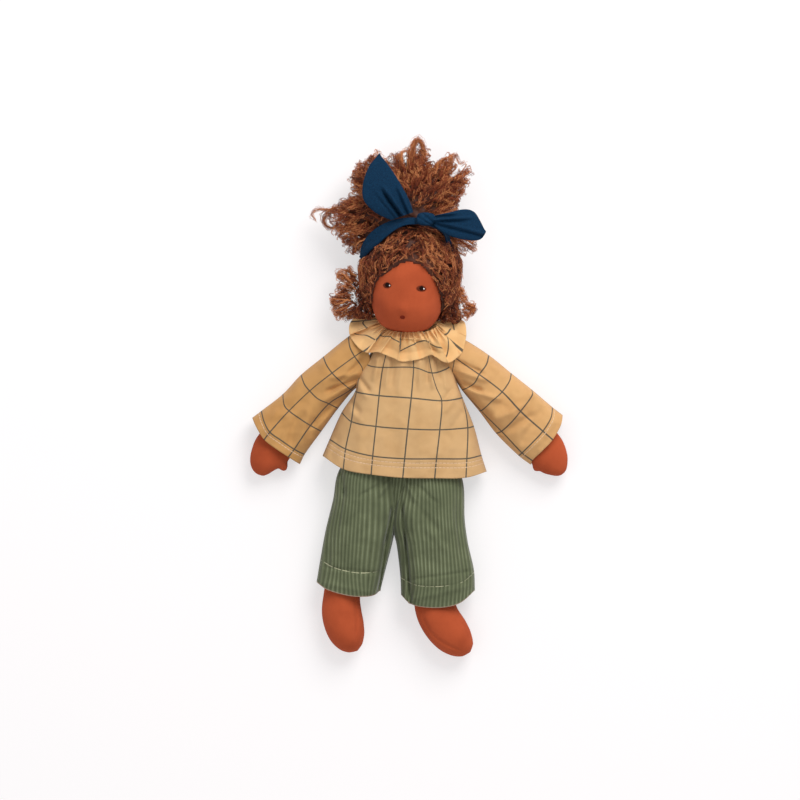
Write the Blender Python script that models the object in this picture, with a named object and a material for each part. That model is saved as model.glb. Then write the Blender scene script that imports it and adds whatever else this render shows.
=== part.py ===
"""A Waldorf doll of 36 cm, lying on its back: stuffed, tied and sewn pieces in their clothes.

Metres, +Z up. +Y runs to the head, +X to the doll's left hand, and Z = 0 is the surface it lies on.
The origin is the middle of the doll's back, where the blouse rests on that surface.
"""

import math
from dataclasses import astuple, dataclass, replace

import bmesh
import bpy
from mathutils import Matrix, Vector

MM = 0.001

# Cloth and clearances
SKIN = 0.8 * MM
BLOUSE_CLOTH = 1.0 * MM
TROUSER_CLOTH = 1.3 * MM
GAP = 0.3 * MM
WOOL_GAP = 0.5 * MM
FLOOR_CUT = 0.5 * MM
CUT_OVERRUN = 20 * MM

# Head
HEAD_HEIGHT = 67 * MM
HEAD_HALF_WIDTH = 28 * MM
HEAD_HALF_DEPTH = 28 * MM
HEAD_LEVEL = 33 * MM
HEAD_SLIP = 4 * MM
HEAD_FULLNESS = 0.94
CHIN_Y = 61 * MM
NECK_RADIUS = 10 * MM
NECK_LEVEL = 24 * MM
NECK_STUB = 11 * MM
NECK_TIE_THREAD = 0.6 * MM
FACE_TURN = 2.3 * MM
EYE_SPACING = 24.2 * MM
EYE_WIDTH = 4.9 * MM
EYE_HEIGHT = 4.0 * MM
EYE_RISE = 31.4 * MM
MOUTH_WIDTH = 3.0 * MM
MOUTH_HEIGHT = 1.5 * MM
MOUTH_RISE = 10.7 * MM
STITCH_PAD = 0.6 * MM

# Hair and headband
HAIR_SKIRT_RISE = 9.5 * MM
HAIR_HALF_WIDTH = 36.5 * MM
HAIR_HEIGHT = 60.5 * MM
HAIR_LENGTH = 69 * MM
HAIR_SQUARENESS = 2.3
FACE_OPENING_WIDTH = 48 * MM
FACE_OPENING_RISE = 50 * MM
FACE_OPENING_LEVEL = 37 * MM
PUFF_CENTRE_Y = 150 * MM
PUFF_ASIDE = -8 * MM
PUFF_LEVEL = 25 * MM
PUFF_HALF_DEPTH = 21 * MM
PUFF_REACH = 50 * MM
PUFF_REACH_SHARES = (
    (10, 0.86), (30, 0.98), (53, 1.02), (66, 0.84), (79, 0.97), (95, 0.80), (111, 0.84), (130, 0.78),
    (151, 0.94), (170, 0.86), (188, 1.18), (205, 0.95), (218, 1.05), (236, 0.30), (300, 0.18), (340, 0.45),
)
CURL_HALF_WIDTH = 9 * MM
CURL_HALF_LENGTH = 13 * MM
CURL_HALF_DEPTH = 17 * MM
CURL_HALF_SPAN = 39.5 * MM
CURL_RISE = 25 * MM
CURL_REACH_SHARES = ((0, 0.9), (60, 1.0), (120, 0.85), (180, 1.1), (240, 0.9), (300, 1.0))
TUFT_SHARE = 0.06
TUFTS_AROUND = 7
TUFTS_UP = 6
BAND_WIDTH = 10 * MM
BAND_CLOTH = 1.4 * MM
BAND_HALF_SPAN = 36.5 * MM
BAND_HALF_RUN = 31 * MM
BAND_CLIMB_SHARE = 0.364
BAND_LEVEL_SHARE = 0.446
BAND_HALF_CLIMB = HAIR_HEIGHT * BAND_CLIMB_SHARE
BAND_LEVEL = HAIR_HEIGHT * BAND_LEVEL_SHARE
BAND_Y = 108 * MM
KNOT_HALF_WIDTH = 8 * MM
KNOT_HALF_LENGTH = 6.5 * MM
KNOT_HALF_DEPTH = 5 * MM
EAR_LENGTH = 47 * MM
EAR_HALF_WIDTH = 11.5 * MM
EAR_HALF_DEPTH = 2.2 * MM
EAR_BEND = 5.7 * MM
EAR_LIFT = 1.7 * MM
EAR_TURN = math.radians(37)
EAR_TILT = math.radians(9)
SHORT_EAR_LENGTH = 42 * MM
SHORT_EAR_HALF_WIDTH = 10.5 * MM
SHORT_EAR_TURN = math.radians(-94)

# Torso
TORSO_THICKNESS = 34 * MM
TORSO_HALF_WIDTH = 31 * MM
WAIST_PINCH = 1.2 * MM
WAIST_Y = -5 * MM
CHEST_Y = 12 * MM
ARMPIT_HALF_WIDTH = 26.5 * MM
TORSO_TOP_Y = 59 * MM
SEAT_ROUND = 7.5 * MM
SEAT_WIDTH_SHARE = 0.9
BELLY_SHARE = 0.24
CHEST_THINNING_SHARE = 0.05

# Shoulders and arms
SHOULDER_Y = 40 * MM
SHOULDER_HALF_SPAN = 39 * MM
SHOULDER_LEVEL = 12.5 * MM
SLEEVE_HEAD_RADIUS = 16.6 * MM
ARMHOLE_EASE = 1 * MM
SLEEVE_LENGTH = 78 * MM
SLEEVE_HEAD_HALF_WIDTH = 14 * MM
CUFF_HALF_WIDTH = 22.3 * MM
SLEEVE_SQUARENESS = 2.1
ARM_LENGTH = 102 * MM
ARM_HALF_WIDTH = 11.5 * MM
ARM_HALF_DEPTH = 10 * MM
HAND_HALF_WIDTH = 13.2 * MM
HAND_RISE = 1 * MM
THUMB_RADIUS = 4.6 * MM
THUMB_HALF_LENGTH = 7 * MM
THUMB_PLACE = 84.5 * MM
THUMB_TURN = math.radians(40)
SHOULDER_THREAD = 0.8 * MM
SHOULDER_THREAD_LENGTH = 24 * MM
LEFT_ARM_DROP = math.radians(38.1)
RIGHT_ARM_DROP = math.radians(50.2)

# Hips and legs
HIP_Y = -59 * MM
HIP_LEVEL = 17.5 * MM
HIP_RADIUS = 17.5 * MM
HIP_HALF_SPAN = 25 * MM
LEG_LENGTH = 103 * MM
LEG_HALF_WIDTH = 14 * MM
TOE_RISE = 6 * MM
TOE_TURN_SHARE = 0.85
TROUSER_HALF_WIDTH = 24.2 * MM
TROUSER_LEG_LENGTH = 67 * MM
HEM_HALF_DEPTH = 12.5 * MM
HEM_SPREAD = 6 * MM
TROUSER_HEM_BOW = 4.2 * MM
TROUSER_SQUARENESS = 2.3
LEFT_ANKLE_DRIFT = 4.4 * MM
LEFT_TOE_DRIFT = 30 * MM
RIGHT_ANKLE_DRIFT = 9.7 * MM
RIGHT_TOE_DRIFT = -4.1 * MM

# Blouse and collar
BLOUSE_HEM_Y = -40.3 * MM
BLOUSE_HEM_HALF_WIDTH = 58 * MM
BLOUSE_CHEST_HALF_WIDTH = 33 * MM
BLOUSE_EDGE_LEVEL = 3 * MM
BLOUSE_SQUARENESS = 2.4
BLOUSE_FOLDS = 12
BLOUSE_FOLD_HEIGHT = 2.4 * MM
YOKE_WIDTH_SHARE = 0.96
YOKE_DEPTH_SHARE = 0.95
NECKLINE_Y = 58.5 * MM
NECKLINE_HALF_WIDTH = 24 * MM
NECKLINE_HALF_DEPTH = 18.5 * MM
NECKLINE_LEVEL = 21 * MM
HEM_BOW = 10 * MM
NECKLINE_BOW = 4 * MM
ELASTIC_RADIUS = 0.6 * MM
ELASTIC_TUCK = 1.2 * MM
COLLAR_CLOTH = 1.0 * MM
COLLAR_HALF_SPAN = 42 * MM
COLLAR_DROP = 23.5 * MM
COLLAR_BACK_DROP = 12 * MM
COLLAR_SIDE_Y = 66 * MM
COLLAR_FRONT_LEVEL = 43 * MM
COLLAR_SIDE_LEVEL = 19 * MM
COLLAR_BACK_LEVEL = 0.8 * MM
COLLAR_FOLDS = 15
COLLAR_FOLD_HEIGHT = 1.6 * MM
COLLAR_CALM_SHARE = 0.15
COLLAR_ROOM = 2 * MM
WAIST_ELASTIC_CLOTH = 0.9 * MM
WAIST_ELASTIC_WIDTH = 5 * MM

DOME_TURN = math.radians(80)
THREAD_SIDES = 6
THREAD_STEPS = 20
LIMB_SIDES = 14
BODY_SIDES = 18
CLOTH_SIDES = 20
BLOUSE_SIDES = 48
CUTTER_SIDES = 40
POINTS_PER_FOLD = 4

BACK_LAYERS = BLOUSE_CLOTH + GAP + TROUSER_CLOTH + GAP
TORSO_LEVEL = BACK_LAYERS + TORSO_THICKNESS / 2
TORSO_FRONT = BACK_LAYERS + TORSO_THICKNESS
WAIST_HALF_WIDTH = TORSO_HALF_WIDTH - 2 * WAIST_PINCH
SEAT_THICKNESS = TORSO_THICKNESS / 2 + GAP + TROUSER_CLOTH
BLOUSE_FRONT = TORSO_FRONT + GAP + TROUSER_CLOTH + GAP + BLOUSE_CLOTH
HEAD_CENTRE_Y = CHIN_Y + HEAD_HEIGHT / 2
ARM_LIFT = BLOUSE_CLOTH + GAP
THIGH_LIFT = TROUSER_CLOTH + GAP
SOCKET_RADIUS = SLEEVE_HEAD_RADIUS + GAP
THIGH_SOCKET_RADIUS = HIP_RADIUS + GAP


@dataclass(frozen=True)
class Section:
    """A cross-section of a soft form: where its centre lies and how far it reaches from there."""

    along: float
    aside: float
    height: float
    wide: float
    up: float
    down: float
    bow: float = 0.0
    fold: float = 0.0

    @property
    def girth(self):
        """The mean radius."""
        return (2 * self.wide + self.up + self.down) / 4


def around(values, index):
    """The values before and after this one, or the value itself at an end."""
    return values[max(index - 1, 0)], values[min(index + 1, len(values) - 1)]


def smoothed(sections, per_span=2):
    """The hand-chosen sections with others between them on a Catmull-Rom curve."""
    rows = [astuple(section) for section in sections]
    rows = [rows[0], *rows, rows[-1]]
    between = []
    for a_row, b_row, c_row, d_row in zip(rows, rows[1:], rows[2:], rows[3:]):
        for step in range(per_span):
            t = step / per_span
            weights = (
                (-t + 2 * t**2 - t**3) / 2,
                (2 - 5 * t**2 + 3 * t**3) / 2,
                (t + 4 * t**2 - 3 * t**3) / 2,
                (t**3 - t**2) / 2,
            )
            columns = zip(a_row, b_row, c_row, d_row)
            between.append(Section(*(sum(w * v for w, v in zip(weights, column)) for column in columns)))
    return [*between, sections[-1]]


def domed(base, reach, drift=0.0, steps=3):
    """Sections that round a form off beyond ``base``; a negative reach runs towards its start."""
    ends = []
    for step in range(1, steps + 1):
        turn = DOME_TURN * step / steps
        shrink = math.cos(turn)
        ends.append(
            replace(
                base,
                along=base.along + reach * math.sin(turn) / math.sin(DOME_TURN),
                aside=base.aside + drift * step / steps,
                wide=base.wide * shrink,
                up=base.up * shrink,
                down=base.down * shrink,
            )
        )
    return ends


def grown(sections, by):
    """The form with its surface moved out along its profile's normal, or in where ``by`` is negative."""
    moved = []
    for index, section in enumerate(sections):
        before, after = around(sections, index)
        run = after.along - before.along
        swell = after.girth - before.girth
        outward = by * run / math.hypot(run, swell)
        backward = by * swell / math.hypot(run, swell)
        moved.append(
            replace(
                section,
                along=section.along - backward,
                wide=section.wide + outward,
                up=section.up + outward,
                down=section.down + outward,
            )
        )
    return moved


def framed(sections, turning=False):
    """Pairs each section with its level direction, which a turning form keeps square to its run."""
    frames = []
    for index, section in enumerate(sections):
        before, after = around(sections, index)
        drift = after.aside - before.aside if turning else 0.0
        run = Vector((drift, after.along - before.along)).normalized()
        frames.append((section, Vector((run.y, -run.x, 0))))
    return frames


def face_out(mesh):
    """Turns every face of a closed mesh to point out."""
    bmesh.ops.recalc_face_normals(mesh, faces=mesh.faces)
    if mesh.calc_volume(signed=True) < 0:
        bmesh.ops.reverse_faces(mesh, faces=mesh.faces)


def place_ring(ring, turn_layer, section, across, squareness):
    """Moves a ring's vertices onto a section: a superellipse with its own reach up and down.

    Folds lift the upper side only, so that the cloth keeps clear of what it covers.
    """
    centre = Vector((section.aside, section.along, section.height))
    for vert in ring:
        turn = vert[turn_layer]
        level = math.copysign(abs(math.cos(turn)) ** (2 / squareness), math.cos(turn))
        rise = math.copysign(abs(math.sin(turn)) ** (2 / squareness), math.sin(turn))
        reach = section.up if rise > 0 else section.down
        lift = section.fold * max(rise, 0.0) * (1 + math.cos(BLOUSE_FOLDS * turn)) / 2
        vert.co = centre + across * (section.wide * level)
        vert.co += Vector((0, section.bow * level**2, reach * rise + lift))


def loft(frames, sides, squareness=2.0, ring_shaped=False):
    """A closed mesh through the framed sections: one ring of vertices, extruded from each to the next."""
    mesh = bmesh.new()
    turn_layer = mesh.verts.layers.float.new("turn")
    ring = bmesh.ops.create_circle(mesh, cap_ends=False, segments=sides, radius=1.0)["verts"]
    for vert in ring:
        vert[turn_layer] = math.atan2(vert.co.y, vert.co.x)
    place_ring(ring, turn_layer, *frames[0], squareness)
    first_rim = list(mesh.edges)
    rim = first_rim
    for section, across in frames[1:]:
        made = bmesh.ops.extrude_edge_only(mesh, edges=rim)["geom"]
        rim = [part for part in made if isinstance(part, bmesh.types.BMEdge)]
        ring = [part for part in made if isinstance(part, bmesh.types.BMVert)]
        place_ring(ring, turn_layer, section, across, squareness)
    if ring_shaped:
        bmesh.ops.bridge_loops(mesh, edges=first_rim + rim)
    else:
        bmesh.ops.holes_fill(mesh, edges=first_rim + rim, sides=0)
    face_out(mesh)
    return mesh


def solid(sections, sides, squareness=2.0):
    """A stuffed form, closed at both ends."""
    return loft(framed(sections), sides, squareness)


def bag(sections, wall, sides, squareness=2.0, open_at_start=False):
    """A sewn skin round its stuffing: closed at one end and open at the other."""
    outer = framed(sections)
    inner = framed(grown(sections, -wall))
    if open_at_start:
        inner[0] = (replace(inner[0][0], along=sections[0].along), inner[0][1])
        return loft([*reversed(outer), *inner], sides, squareness)
    inner[-1] = (replace(inner[-1][0], along=sections[-1].along), inner[-1][1])
    return loft([*outer, *reversed(inner)], sides, squareness)


def tube(sections, wall, sides, squareness=2.0):
    """Cloth round a body: open at both ends."""
    inner = grown(sections, -wall)
    inner[0] = replace(inner[0], along=sections[0].along)
    inner[-1] = replace(inner[-1], along=sections[-1].along)
    return loft([*framed(sections), *reversed(framed(inner))], sides, squareness, ring_shaped=True)


def cut_flat(mesh):
    """Cuts off what lies below the resting surface and closes the cut."""
    geometry = [*mesh.verts, *mesh.edges, *mesh.faces]
    bmesh.ops.bisect_plane(mesh, geom=geometry, plane_co=(0, 0, 0), plane_no=(0, 0, -1), clear_outer=True)
    rim = [edge for edge in mesh.edges if edge.is_boundary]
    bmesh.ops.holes_fill(mesh, edges=rim, sides=0)
    return mesh


def spin_round(mesh, axis, steps):
    """Sweeps an open outline once round the origin into a closed ring."""
    bmesh.ops.spin(
        mesh, geom=[*mesh.verts, *mesh.edges], axis=axis, angle=math.tau, steps=steps,
        use_merge=True, use_duplicate=False,
    )


def thread_ring(centre, half_width, half_depth, radius):
    """A wound thread or elastic: a small circle swept round an upright ellipse."""
    mesh = bmesh.new()
    bmesh.ops.create_circle(mesh, segments=THREAD_SIDES, radius=radius, matrix=Matrix.Translation((1, 0, 0)))
    spin_round(mesh, (0, 1, 0), THREAD_STEPS)
    for vert in mesh.verts:
        spoke = Vector((vert.co.x, vert.co.z))
        out = spoke.normalized()
        over = spoke.length - 1
        offset = Vector((out.x * (half_width + over), vert.co.y, out.y * (half_depth + over)))
        vert.co = Vector(centre) + offset
    face_out(mesh)
    return mesh


def linear(colour):
    """An sRGB hex colour as the linear RGBA that a shader takes."""
    channels = [int(colour[place : place + 2], 16) / 255 for place in (1, 3, 5)]
    return (*(c / 12.92 if c <= 0.04045 else ((c + 0.055) / 1.055) ** 2.4 for c in channels), 1.0)


def material(name, colour, roughness):
    """A Principled material; nothing on the doll is metal."""
    made = bpy.data.materials.get(name) or bpy.data.materials.new(name)
    made.use_nodes = True
    shader = made.node_tree.nodes["Principled BSDF"]
    shader.inputs["Base Color"].default_value = linear(colour)
    shader.inputs["Roughness"].default_value = roughness
    shader.inputs["Metallic"].default_value = 0.0
    made.diffuse_color = linear(colour)
    return made


LOOKS = {
    "jersey": ("#A8492B", 0.85),
    "wool": ("#EDE4D0", 0.95),
    "thread": ("#8E3C24", 0.7),
    "eye_thread": ("#2A1712", 0.5),
    "mouth_thread": ("#6E1F1A", 0.6),
    "mohair": ("#6B3A20", 0.8),
    "linen": ("#17465F", 0.85),
    "check_cotton": ("#DDB070", 0.8),
    "corduroy": ("#68805A", 0.9),
    "elastic": ("#F2EEE6", 0.7),
}


def joint_frame(name, location, turn=0.0, parent=None):
    """An empty on a joint's axis, which carries the pieces that move there."""
    empty = bpy.data.objects.new(name, None)
    bpy.context.collection.objects.link(empty)
    if parent:
        empty.parent = parent
        location = Vector(location) - parent.matrix_world.translation
    empty.location = location
    empty.rotation_euler.z = turn
    bpy.context.view_layer.update()
    return empty


def node(name, mesh, look, frame=None, limb=False):
    """One piece. Its mesh is in the doll's own coordinates or, on a limb, in those below the joint."""
    data = bpy.data.meshes.new(name)
    mesh.to_mesh(data)
    mesh.free()
    data.shade_smooth()
    data.materials.append(material(look, *LOOKS[look]))
    obj = bpy.data.objects.new(name, data)
    bpy.context.collection.objects.link(obj)
    if frame:
        obj.parent = frame
        joint = frame.matrix_world.translation
        obj.location = (0, 0, -joint.z) if limb else -joint
    return obj


def helper(obj):
    """Keeps a cutting form out of the finished part."""
    obj.hide_render = True
    obj.display_type = "WIRE"
    return obj


def combine(obj, other, operation="DIFFERENCE"):
    """Cuts the other form out of the piece, or keeps or adds it."""
    modifier = obj.modifiers.new(f"{operation.lower()}_{other.name}", "BOOLEAN")
    modifier.operation = operation
    modifier.object = other
    modifier.solver = "EXACT"


def rod(radius, half_length, centre, axis, sides=CUTTER_SIDES):
    """A cylinder along X or Z."""
    mesh = bmesh.new()
    turn = Matrix.Rotation(math.radians(90), 4, "Y") if axis == "X" else Matrix()
    bmesh.ops.create_cone(
        mesh, cap_ends=True, segments=sides, radius1=radius, radius2=radius, depth=2 * half_length,
        matrix=Matrix.Translation(centre) @ turn,
    )
    return mesh


def head_sections():
    """Neck stub, then the ball of the head up to its crown."""
    neck = Section(CHIN_Y - NECK_STUB, -HEAD_SLIP, NECK_LEVEL, NECK_RADIUS, NECK_RADIUS, NECK_RADIUS)
    sections = [neck, replace(neck, along=CHIN_Y - NECK_STUB / 2), replace(neck, along=CHIN_Y)]
    for degrees in (27, 42, 58, 74, 90, 107, 124, 141, 157, 171):
        turn = math.radians(degrees)
        fullness = math.sin(turn) ** HEAD_FULLNESS
        depth = HEAD_HALF_DEPTH * fullness
        y = HEAD_CENTRE_Y - HEAD_HEIGHT / 2 * math.cos(turn)
        sections.append(Section(y, -HEAD_SLIP, HEAD_LEVEL, HEAD_HALF_WIDTH * fullness, depth, depth))
    return sections


def stitch_patch(name, look, x, y, width, height, frame, inner, outer):
    """A small raised pad of stitches that follows the face."""
    mesh = rod(1, 1, (0, 0, 0), "Z", LIMB_SIDES)
    reach = Matrix.Diagonal((width / 2, height / 2, HEAD_HALF_DEPTH / 2, 1))
    place = Matrix.Translation((x, y, HEAD_LEVEL + HEAD_HALF_DEPTH))
    bmesh.ops.transform(mesh, matrix=place @ reach, verts=mesh.verts)
    pad = node(name, mesh, look, frame)
    combine(pad, outer, "INTERSECT")
    combine(pad, inner)


def build_head(frame):
    """The tied ball of the head with its face."""
    sections = head_sections()
    node("head_skin", bag(sections, SKIN, BODY_SIDES, open_at_start=True), "jersey", frame)
    wool = grown(sections, -SKIN - WOOL_GAP)
    wool[0] = replace(wool[0], along=sections[0].along + WOOL_GAP)
    node("head_wool", solid(wool, BODY_SIDES), "wool", frame)
    tie_radius = NECK_RADIUS + GAP + NECK_TIE_THREAD
    tie_centre = (-HEAD_SLIP, (TORSO_TOP_Y + CHIN_Y) / 2 + GAP, NECK_LEVEL)
    node("neck_tie", thread_ring(tie_centre, tie_radius, tie_radius, NECK_TIE_THREAD), "thread", frame)

    inner = helper(node("head_clearance", solid(grown(sections, GAP), BODY_SIDES), "jersey", frame))
    stitched = solid(grown(sections, GAP + STITCH_PAD), BODY_SIDES)
    outer = helper(node("stitch_surface", stitched, "jersey", frame))
    middle = -HEAD_SLIP - FACE_TURN
    eye_y = CHIN_Y + EYE_RISE
    for name, side in (("left_eye", 1), ("right_eye", -1)):
        x = middle + side * EYE_SPACING / 2
        stitch_patch(name, "eye_thread", x, eye_y, EYE_WIDTH, EYE_HEIGHT, frame, inner, outer)
    mouth_y = CHIN_Y + MOUTH_RISE
    stitch_patch("mouth", "mouth_thread", middle, mouth_y, MOUTH_WIDTH, MOUTH_HEIGHT, frame, inner, outer)
    return inner


def hair_sections():
    """The cap of hair from its lower edge at the nape to the band."""
    start = CHIN_Y + HAIR_SKIRT_RISE
    half_height = HAIR_HEIGHT / 2
    shares = (
        (0.0, 0.84, 0.62, 0.80),
        (0.09, 0.95, 0.86, 1.0),
        (0.28, 1.0, 0.93, 1.0),
        (0.50, 0.985, 0.98, 1.0),
        (0.68, 0.93, 0.97, 1.0),
        (0.84, 0.79, 0.86, 0.94),
        (0.94, 0.60, 0.68, 0.76),
    )
    sections = [
        Section(
            start + HAIR_LENGTH * run_share,
            -HEAD_SLIP / 2,
            half_height - FLOOR_CUT,
            HAIR_HALF_WIDTH * wide_share,
            half_height * up_share,
            half_height * down_share,
        )
        for run_share, wide_share, up_share, down_share in shares
    ]
    return [*sections, *domed(sections[-1], HAIR_LENGTH - (sections[-1].along - start))]


def band_loop(spread=0.0):
    """The strip round the head: a flat profile spun round an inclined ellipse."""
    mesh = bmesh.new()
    half_width = BAND_WIDTH / 2 + spread
    half_cloth = BAND_CLOTH / 2 + spread
    half_tall = math.hypot(BAND_HALF_RUN, BAND_HALF_CLIMB)
    incline = Matrix.Rotation(math.atan2(BAND_HALF_CLIMB, BAND_HALF_RUN), 4, "X")
    place = Matrix.Translation((-HEAD_SLIP / 2, BAND_Y, BAND_LEVEL))

    profile = Matrix.Diagonal((half_cloth, 1, half_width, 1)) @ Matrix.Rotation(math.pi / 2, 4, "X")
    corner = Matrix.Rotation(math.pi / 4, 4, "Z")
    at_rim = Matrix.Translation((1, 0, 0))
    bmesh.ops.create_circle(mesh, segments=4, radius=math.sqrt(2), matrix=at_rim @ profile @ corner)
    spin_round(mesh, (0, 0, 1), CUTTER_SIDES)
    for vert in mesh.verts:
        spoke = Vector((vert.co.x, vert.co.y))
        out = spoke.normalized()
        over = spoke.length - 1
        vert.co.xy = (out.x * (BAND_HALF_SPAN + over), out.y * (half_tall + over))
    bmesh.ops.transform(mesh, matrix=place @ incline, verts=mesh.verts)
    face_out(mesh)
    return mesh


def tufted(centre, half_sizes, tufts, subdivisions=3):
    """A closed mass of curls: a ball whose reach follows the tufts seen in plan.

    ``tufts`` pairs a direction in degrees with the share of the reach that the hair has there.
    """
    mesh = bmesh.new()
    bmesh.ops.create_icosphere(mesh, subdivisions=subdivisions, radius=1)
    angles = [math.radians(degrees) for degrees, _ in tufts]
    for vert in mesh.verts:
        bearing = math.atan2(vert.co.y, vert.co.x) % math.tau
        later = next((i for i, angle in enumerate(angles) if angle > bearing), 0)
        earlier = later - 1
        span = (angles[later] - angles[earlier]) % math.tau
        way = ((bearing - angles[earlier]) % math.tau) / span
        ease = (1 - math.cos(math.pi * way)) / 2
        reach = tufts[earlier][1] * (1 - ease) + tufts[later][1] * ease
        ripple = 1 + TUFT_SHARE * math.sin(TUFTS_AROUND * bearing) * math.cos(TUFTS_UP * vert.co.z)
        spread = Vector((half_sizes[0] * reach, half_sizes[1] * reach, half_sizes[2]))
        vert.co = Vector(centre) + ripple * spread * vert.co
    face_out(mesh)
    return mesh


def build_hair(frame, head_clearance):
    """The cap, the loose puff above the band and the curls beside the cheeks."""
    sections = hair_sections()
    cap = node("hair_cap", cut_flat(solid(sections, CLOTH_SIDES, HAIR_SQUARENESS)), "mohair", frame)
    around_cap = solid(grown(sections, GAP), CLOTH_SIDES, HAIR_SQUARENESS)
    cap_clearance = helper(node("cap_clearance", around_cap, "mohair", frame))
    band_clearance = helper(node("band_clearance", band_loop(GAP), "linen", frame))

    opening = rod(1, 1, (0, 0, 0), "Z", CLOTH_SIDES)
    reach = Matrix.Diagonal((FACE_OPENING_WIDTH / 2, FACE_OPENING_RISE, HAIR_HEIGHT / 2, 1))
    centre = (-HEAD_SLIP, CHIN_Y, FACE_OPENING_LEVEL + HAIR_HEIGHT / 2)
    bmesh.ops.transform(opening, matrix=Matrix.Translation(centre) @ reach, verts=opening.verts)
    window = helper(node("face_opening", opening, "mohair", frame))
    for cutter in (head_clearance, window, band_clearance):
        combine(cap, cutter)

    puff_centre = (PUFF_ASIDE, PUFF_CENTRE_Y, PUFF_LEVEL)
    puff_mesh = tufted(puff_centre, (PUFF_REACH, PUFF_REACH, PUFF_HALF_DEPTH), PUFF_REACH_SHARES)
    puff = node("hair_puff", puff_mesh, "mohair", frame)
    curls = [puff]
    curl_size = (CURL_HALF_WIDTH, CURL_HALF_LENGTH, CURL_HALF_DEPTH)
    for name, side in (("left_curls", 1), ("right_curls", -1)):
        centre = (-HEAD_SLIP / 2 + side * CURL_HALF_SPAN, CHIN_Y + CURL_RISE, PUFF_LEVEL)
        curls.append(node(name, tufted(centre, curl_size, CURL_REACH_SHARES, 2), "mohair", frame))
    for bunch in curls:
        combine(bunch, cap_clearance)
        combine(bunch, band_clearance)
    return cap_clearance, band_clearance


def ear_mesh(base, turn, length, half_width, bend):
    """One ear of the bow: a folded linen end, narrow at the knot, full beyond it and pointed."""
    shares = (
        (0.0, 0.32, 0.0, 0.9),
        (0.15, 0.42, 0.10, 1.2),
        (0.40, 0.90, 0.45, 1.3),
        (0.62, 1.0, 0.60, 1.1),
        (0.82, 0.72, 0.45, 0.9),
        (0.95, 0.30, 0.15, 0.7),
        (1.0, 0.12, 0.0, 0.5),
    )
    sections = [
        Section(
            length * run_share,
            bend * bend_share,
            0.0,
            half_width * wide_share,
            EAR_HALF_DEPTH * deep_share,
            EAR_HALF_DEPTH * deep_share,
        )
        for run_share, wide_share, bend_share, deep_share in shares
    ]
    mesh = solid(smoothed(sections), LIMB_SIDES, 1.7)
    tilt = Matrix.Rotation(EAR_TILT, 4, "X")
    place = Matrix.Translation(base) @ Matrix.Rotation(turn, 4, "Z") @ tilt
    bmesh.ops.transform(mesh, matrix=place, verts=mesh.verts)
    return mesh


def knot_mesh(spread=0.0):
    """The knot of the bow, a tight roll of linen."""
    mesh = bmesh.new()
    bmesh.ops.create_uvsphere(mesh, u_segments=LIMB_SIDES, v_segments=LIMB_SIDES // 2, radius=1)
    reach = (KNOT_HALF_WIDTH + spread, KNOT_HALF_LENGTH + spread, KNOT_HALF_DEPTH + spread, 1)
    level = BAND_LEVEL + BAND_HALF_CLIMB + KNOT_HALF_DEPTH / 2
    place = Matrix.Translation((KNOT_HALF_WIDTH / 2, BAND_Y + BAND_HALF_RUN + BAND_CLOTH, level))
    bmesh.ops.transform(mesh, matrix=place @ Matrix.Diagonal(reach), verts=mesh.verts)
    return mesh, place.translation


def build_headband(frame, cap_clearance, band_clearance):
    """The linen strip with its knot and two ears."""
    node("headband", band_loop(), "linen", frame)
    mesh, knot_centre = knot_mesh()
    knot = node("bow_knot", mesh, "linen", frame)
    combine(knot, cap_clearance)
    combine(knot, band_clearance)
    knot_clearance = helper(node("knot_clearance", knot_mesh(GAP)[0], "linen", frame))
    base = knot_centre + Vector((0, 0, EAR_LIFT))
    upper_mesh = ear_mesh(base, EAR_TURN, EAR_LENGTH, EAR_HALF_WIDTH, -EAR_BEND)
    upper_ear = node("bow_ear_right", upper_mesh, "linen", frame)
    combine(upper_ear, knot_clearance)
    lower_mesh = ear_mesh(base, SHORT_EAR_TURN, SHORT_EAR_LENGTH, SHORT_EAR_HALF_WIDTH, 0.0)
    lower_ear = node("bow_ear_left", lower_mesh, "linen", frame)
    combine(lower_ear, knot_clearance)
    combine(lower_ear, cap_clearance)


def beside_arm(y, half_width):
    """The torso's half-width at this height up the body, drawn in where the arm's head presses."""
    up_or_down = min(abs(y - SHOULDER_Y), SOCKET_RADIUS)
    return min(half_width, SHOULDER_HALF_SPAN - math.sqrt(SOCKET_RADIUS**2 - up_or_down**2))


def trunk_sections():
    """The torso from its seat to just under the neck stub."""
    bottom_y = HIP_Y + THIGH_SOCKET_RADIUS
    half = TORSO_THICKNESS / 2
    seat_y = bottom_y + SEAT_ROUND
    belly_y = seat_y + BELLY_SHARE * (WAIST_Y - seat_y)
    chest_width = TORSO_HALF_WIDTH - WAIST_PINCH
    pinched = half - WAIST_PINCH
    lower = [
        Section(seat_y, 0, TORSO_LEVEL, TORSO_HALF_WIDTH * SEAT_WIDTH_SHARE, half, half),
        Section(belly_y, 0, TORSO_LEVEL, TORSO_HALF_WIDTH, half, half),
        Section(WAIST_Y, 0, TORSO_LEVEL, WAIST_HALF_WIDTH, pinched, pinched),
        Section(CHEST_Y, 0, TORSO_LEVEL, chest_width, half, half),
    ]
    upper = []
    armpit_y = SHOULDER_Y - SLEEVE_HEAD_RADIUS
    for run_share in (0.0, 0.25, 0.5, 0.75, 1.0):
        y = armpit_y + (CHIN_Y - NECK_STUB - armpit_y) * run_share
        depth = half * (1 - CHEST_THINNING_SHARE * run_share)
        upper.append(Section(y, 0, TORSO_LEVEL, beside_arm(y, ARMPIT_HALF_WIDTH), depth, depth))
    start = list(reversed(domed(lower[0], -SEAT_ROUND)))
    return [*start, *lower, *upper]


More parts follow.
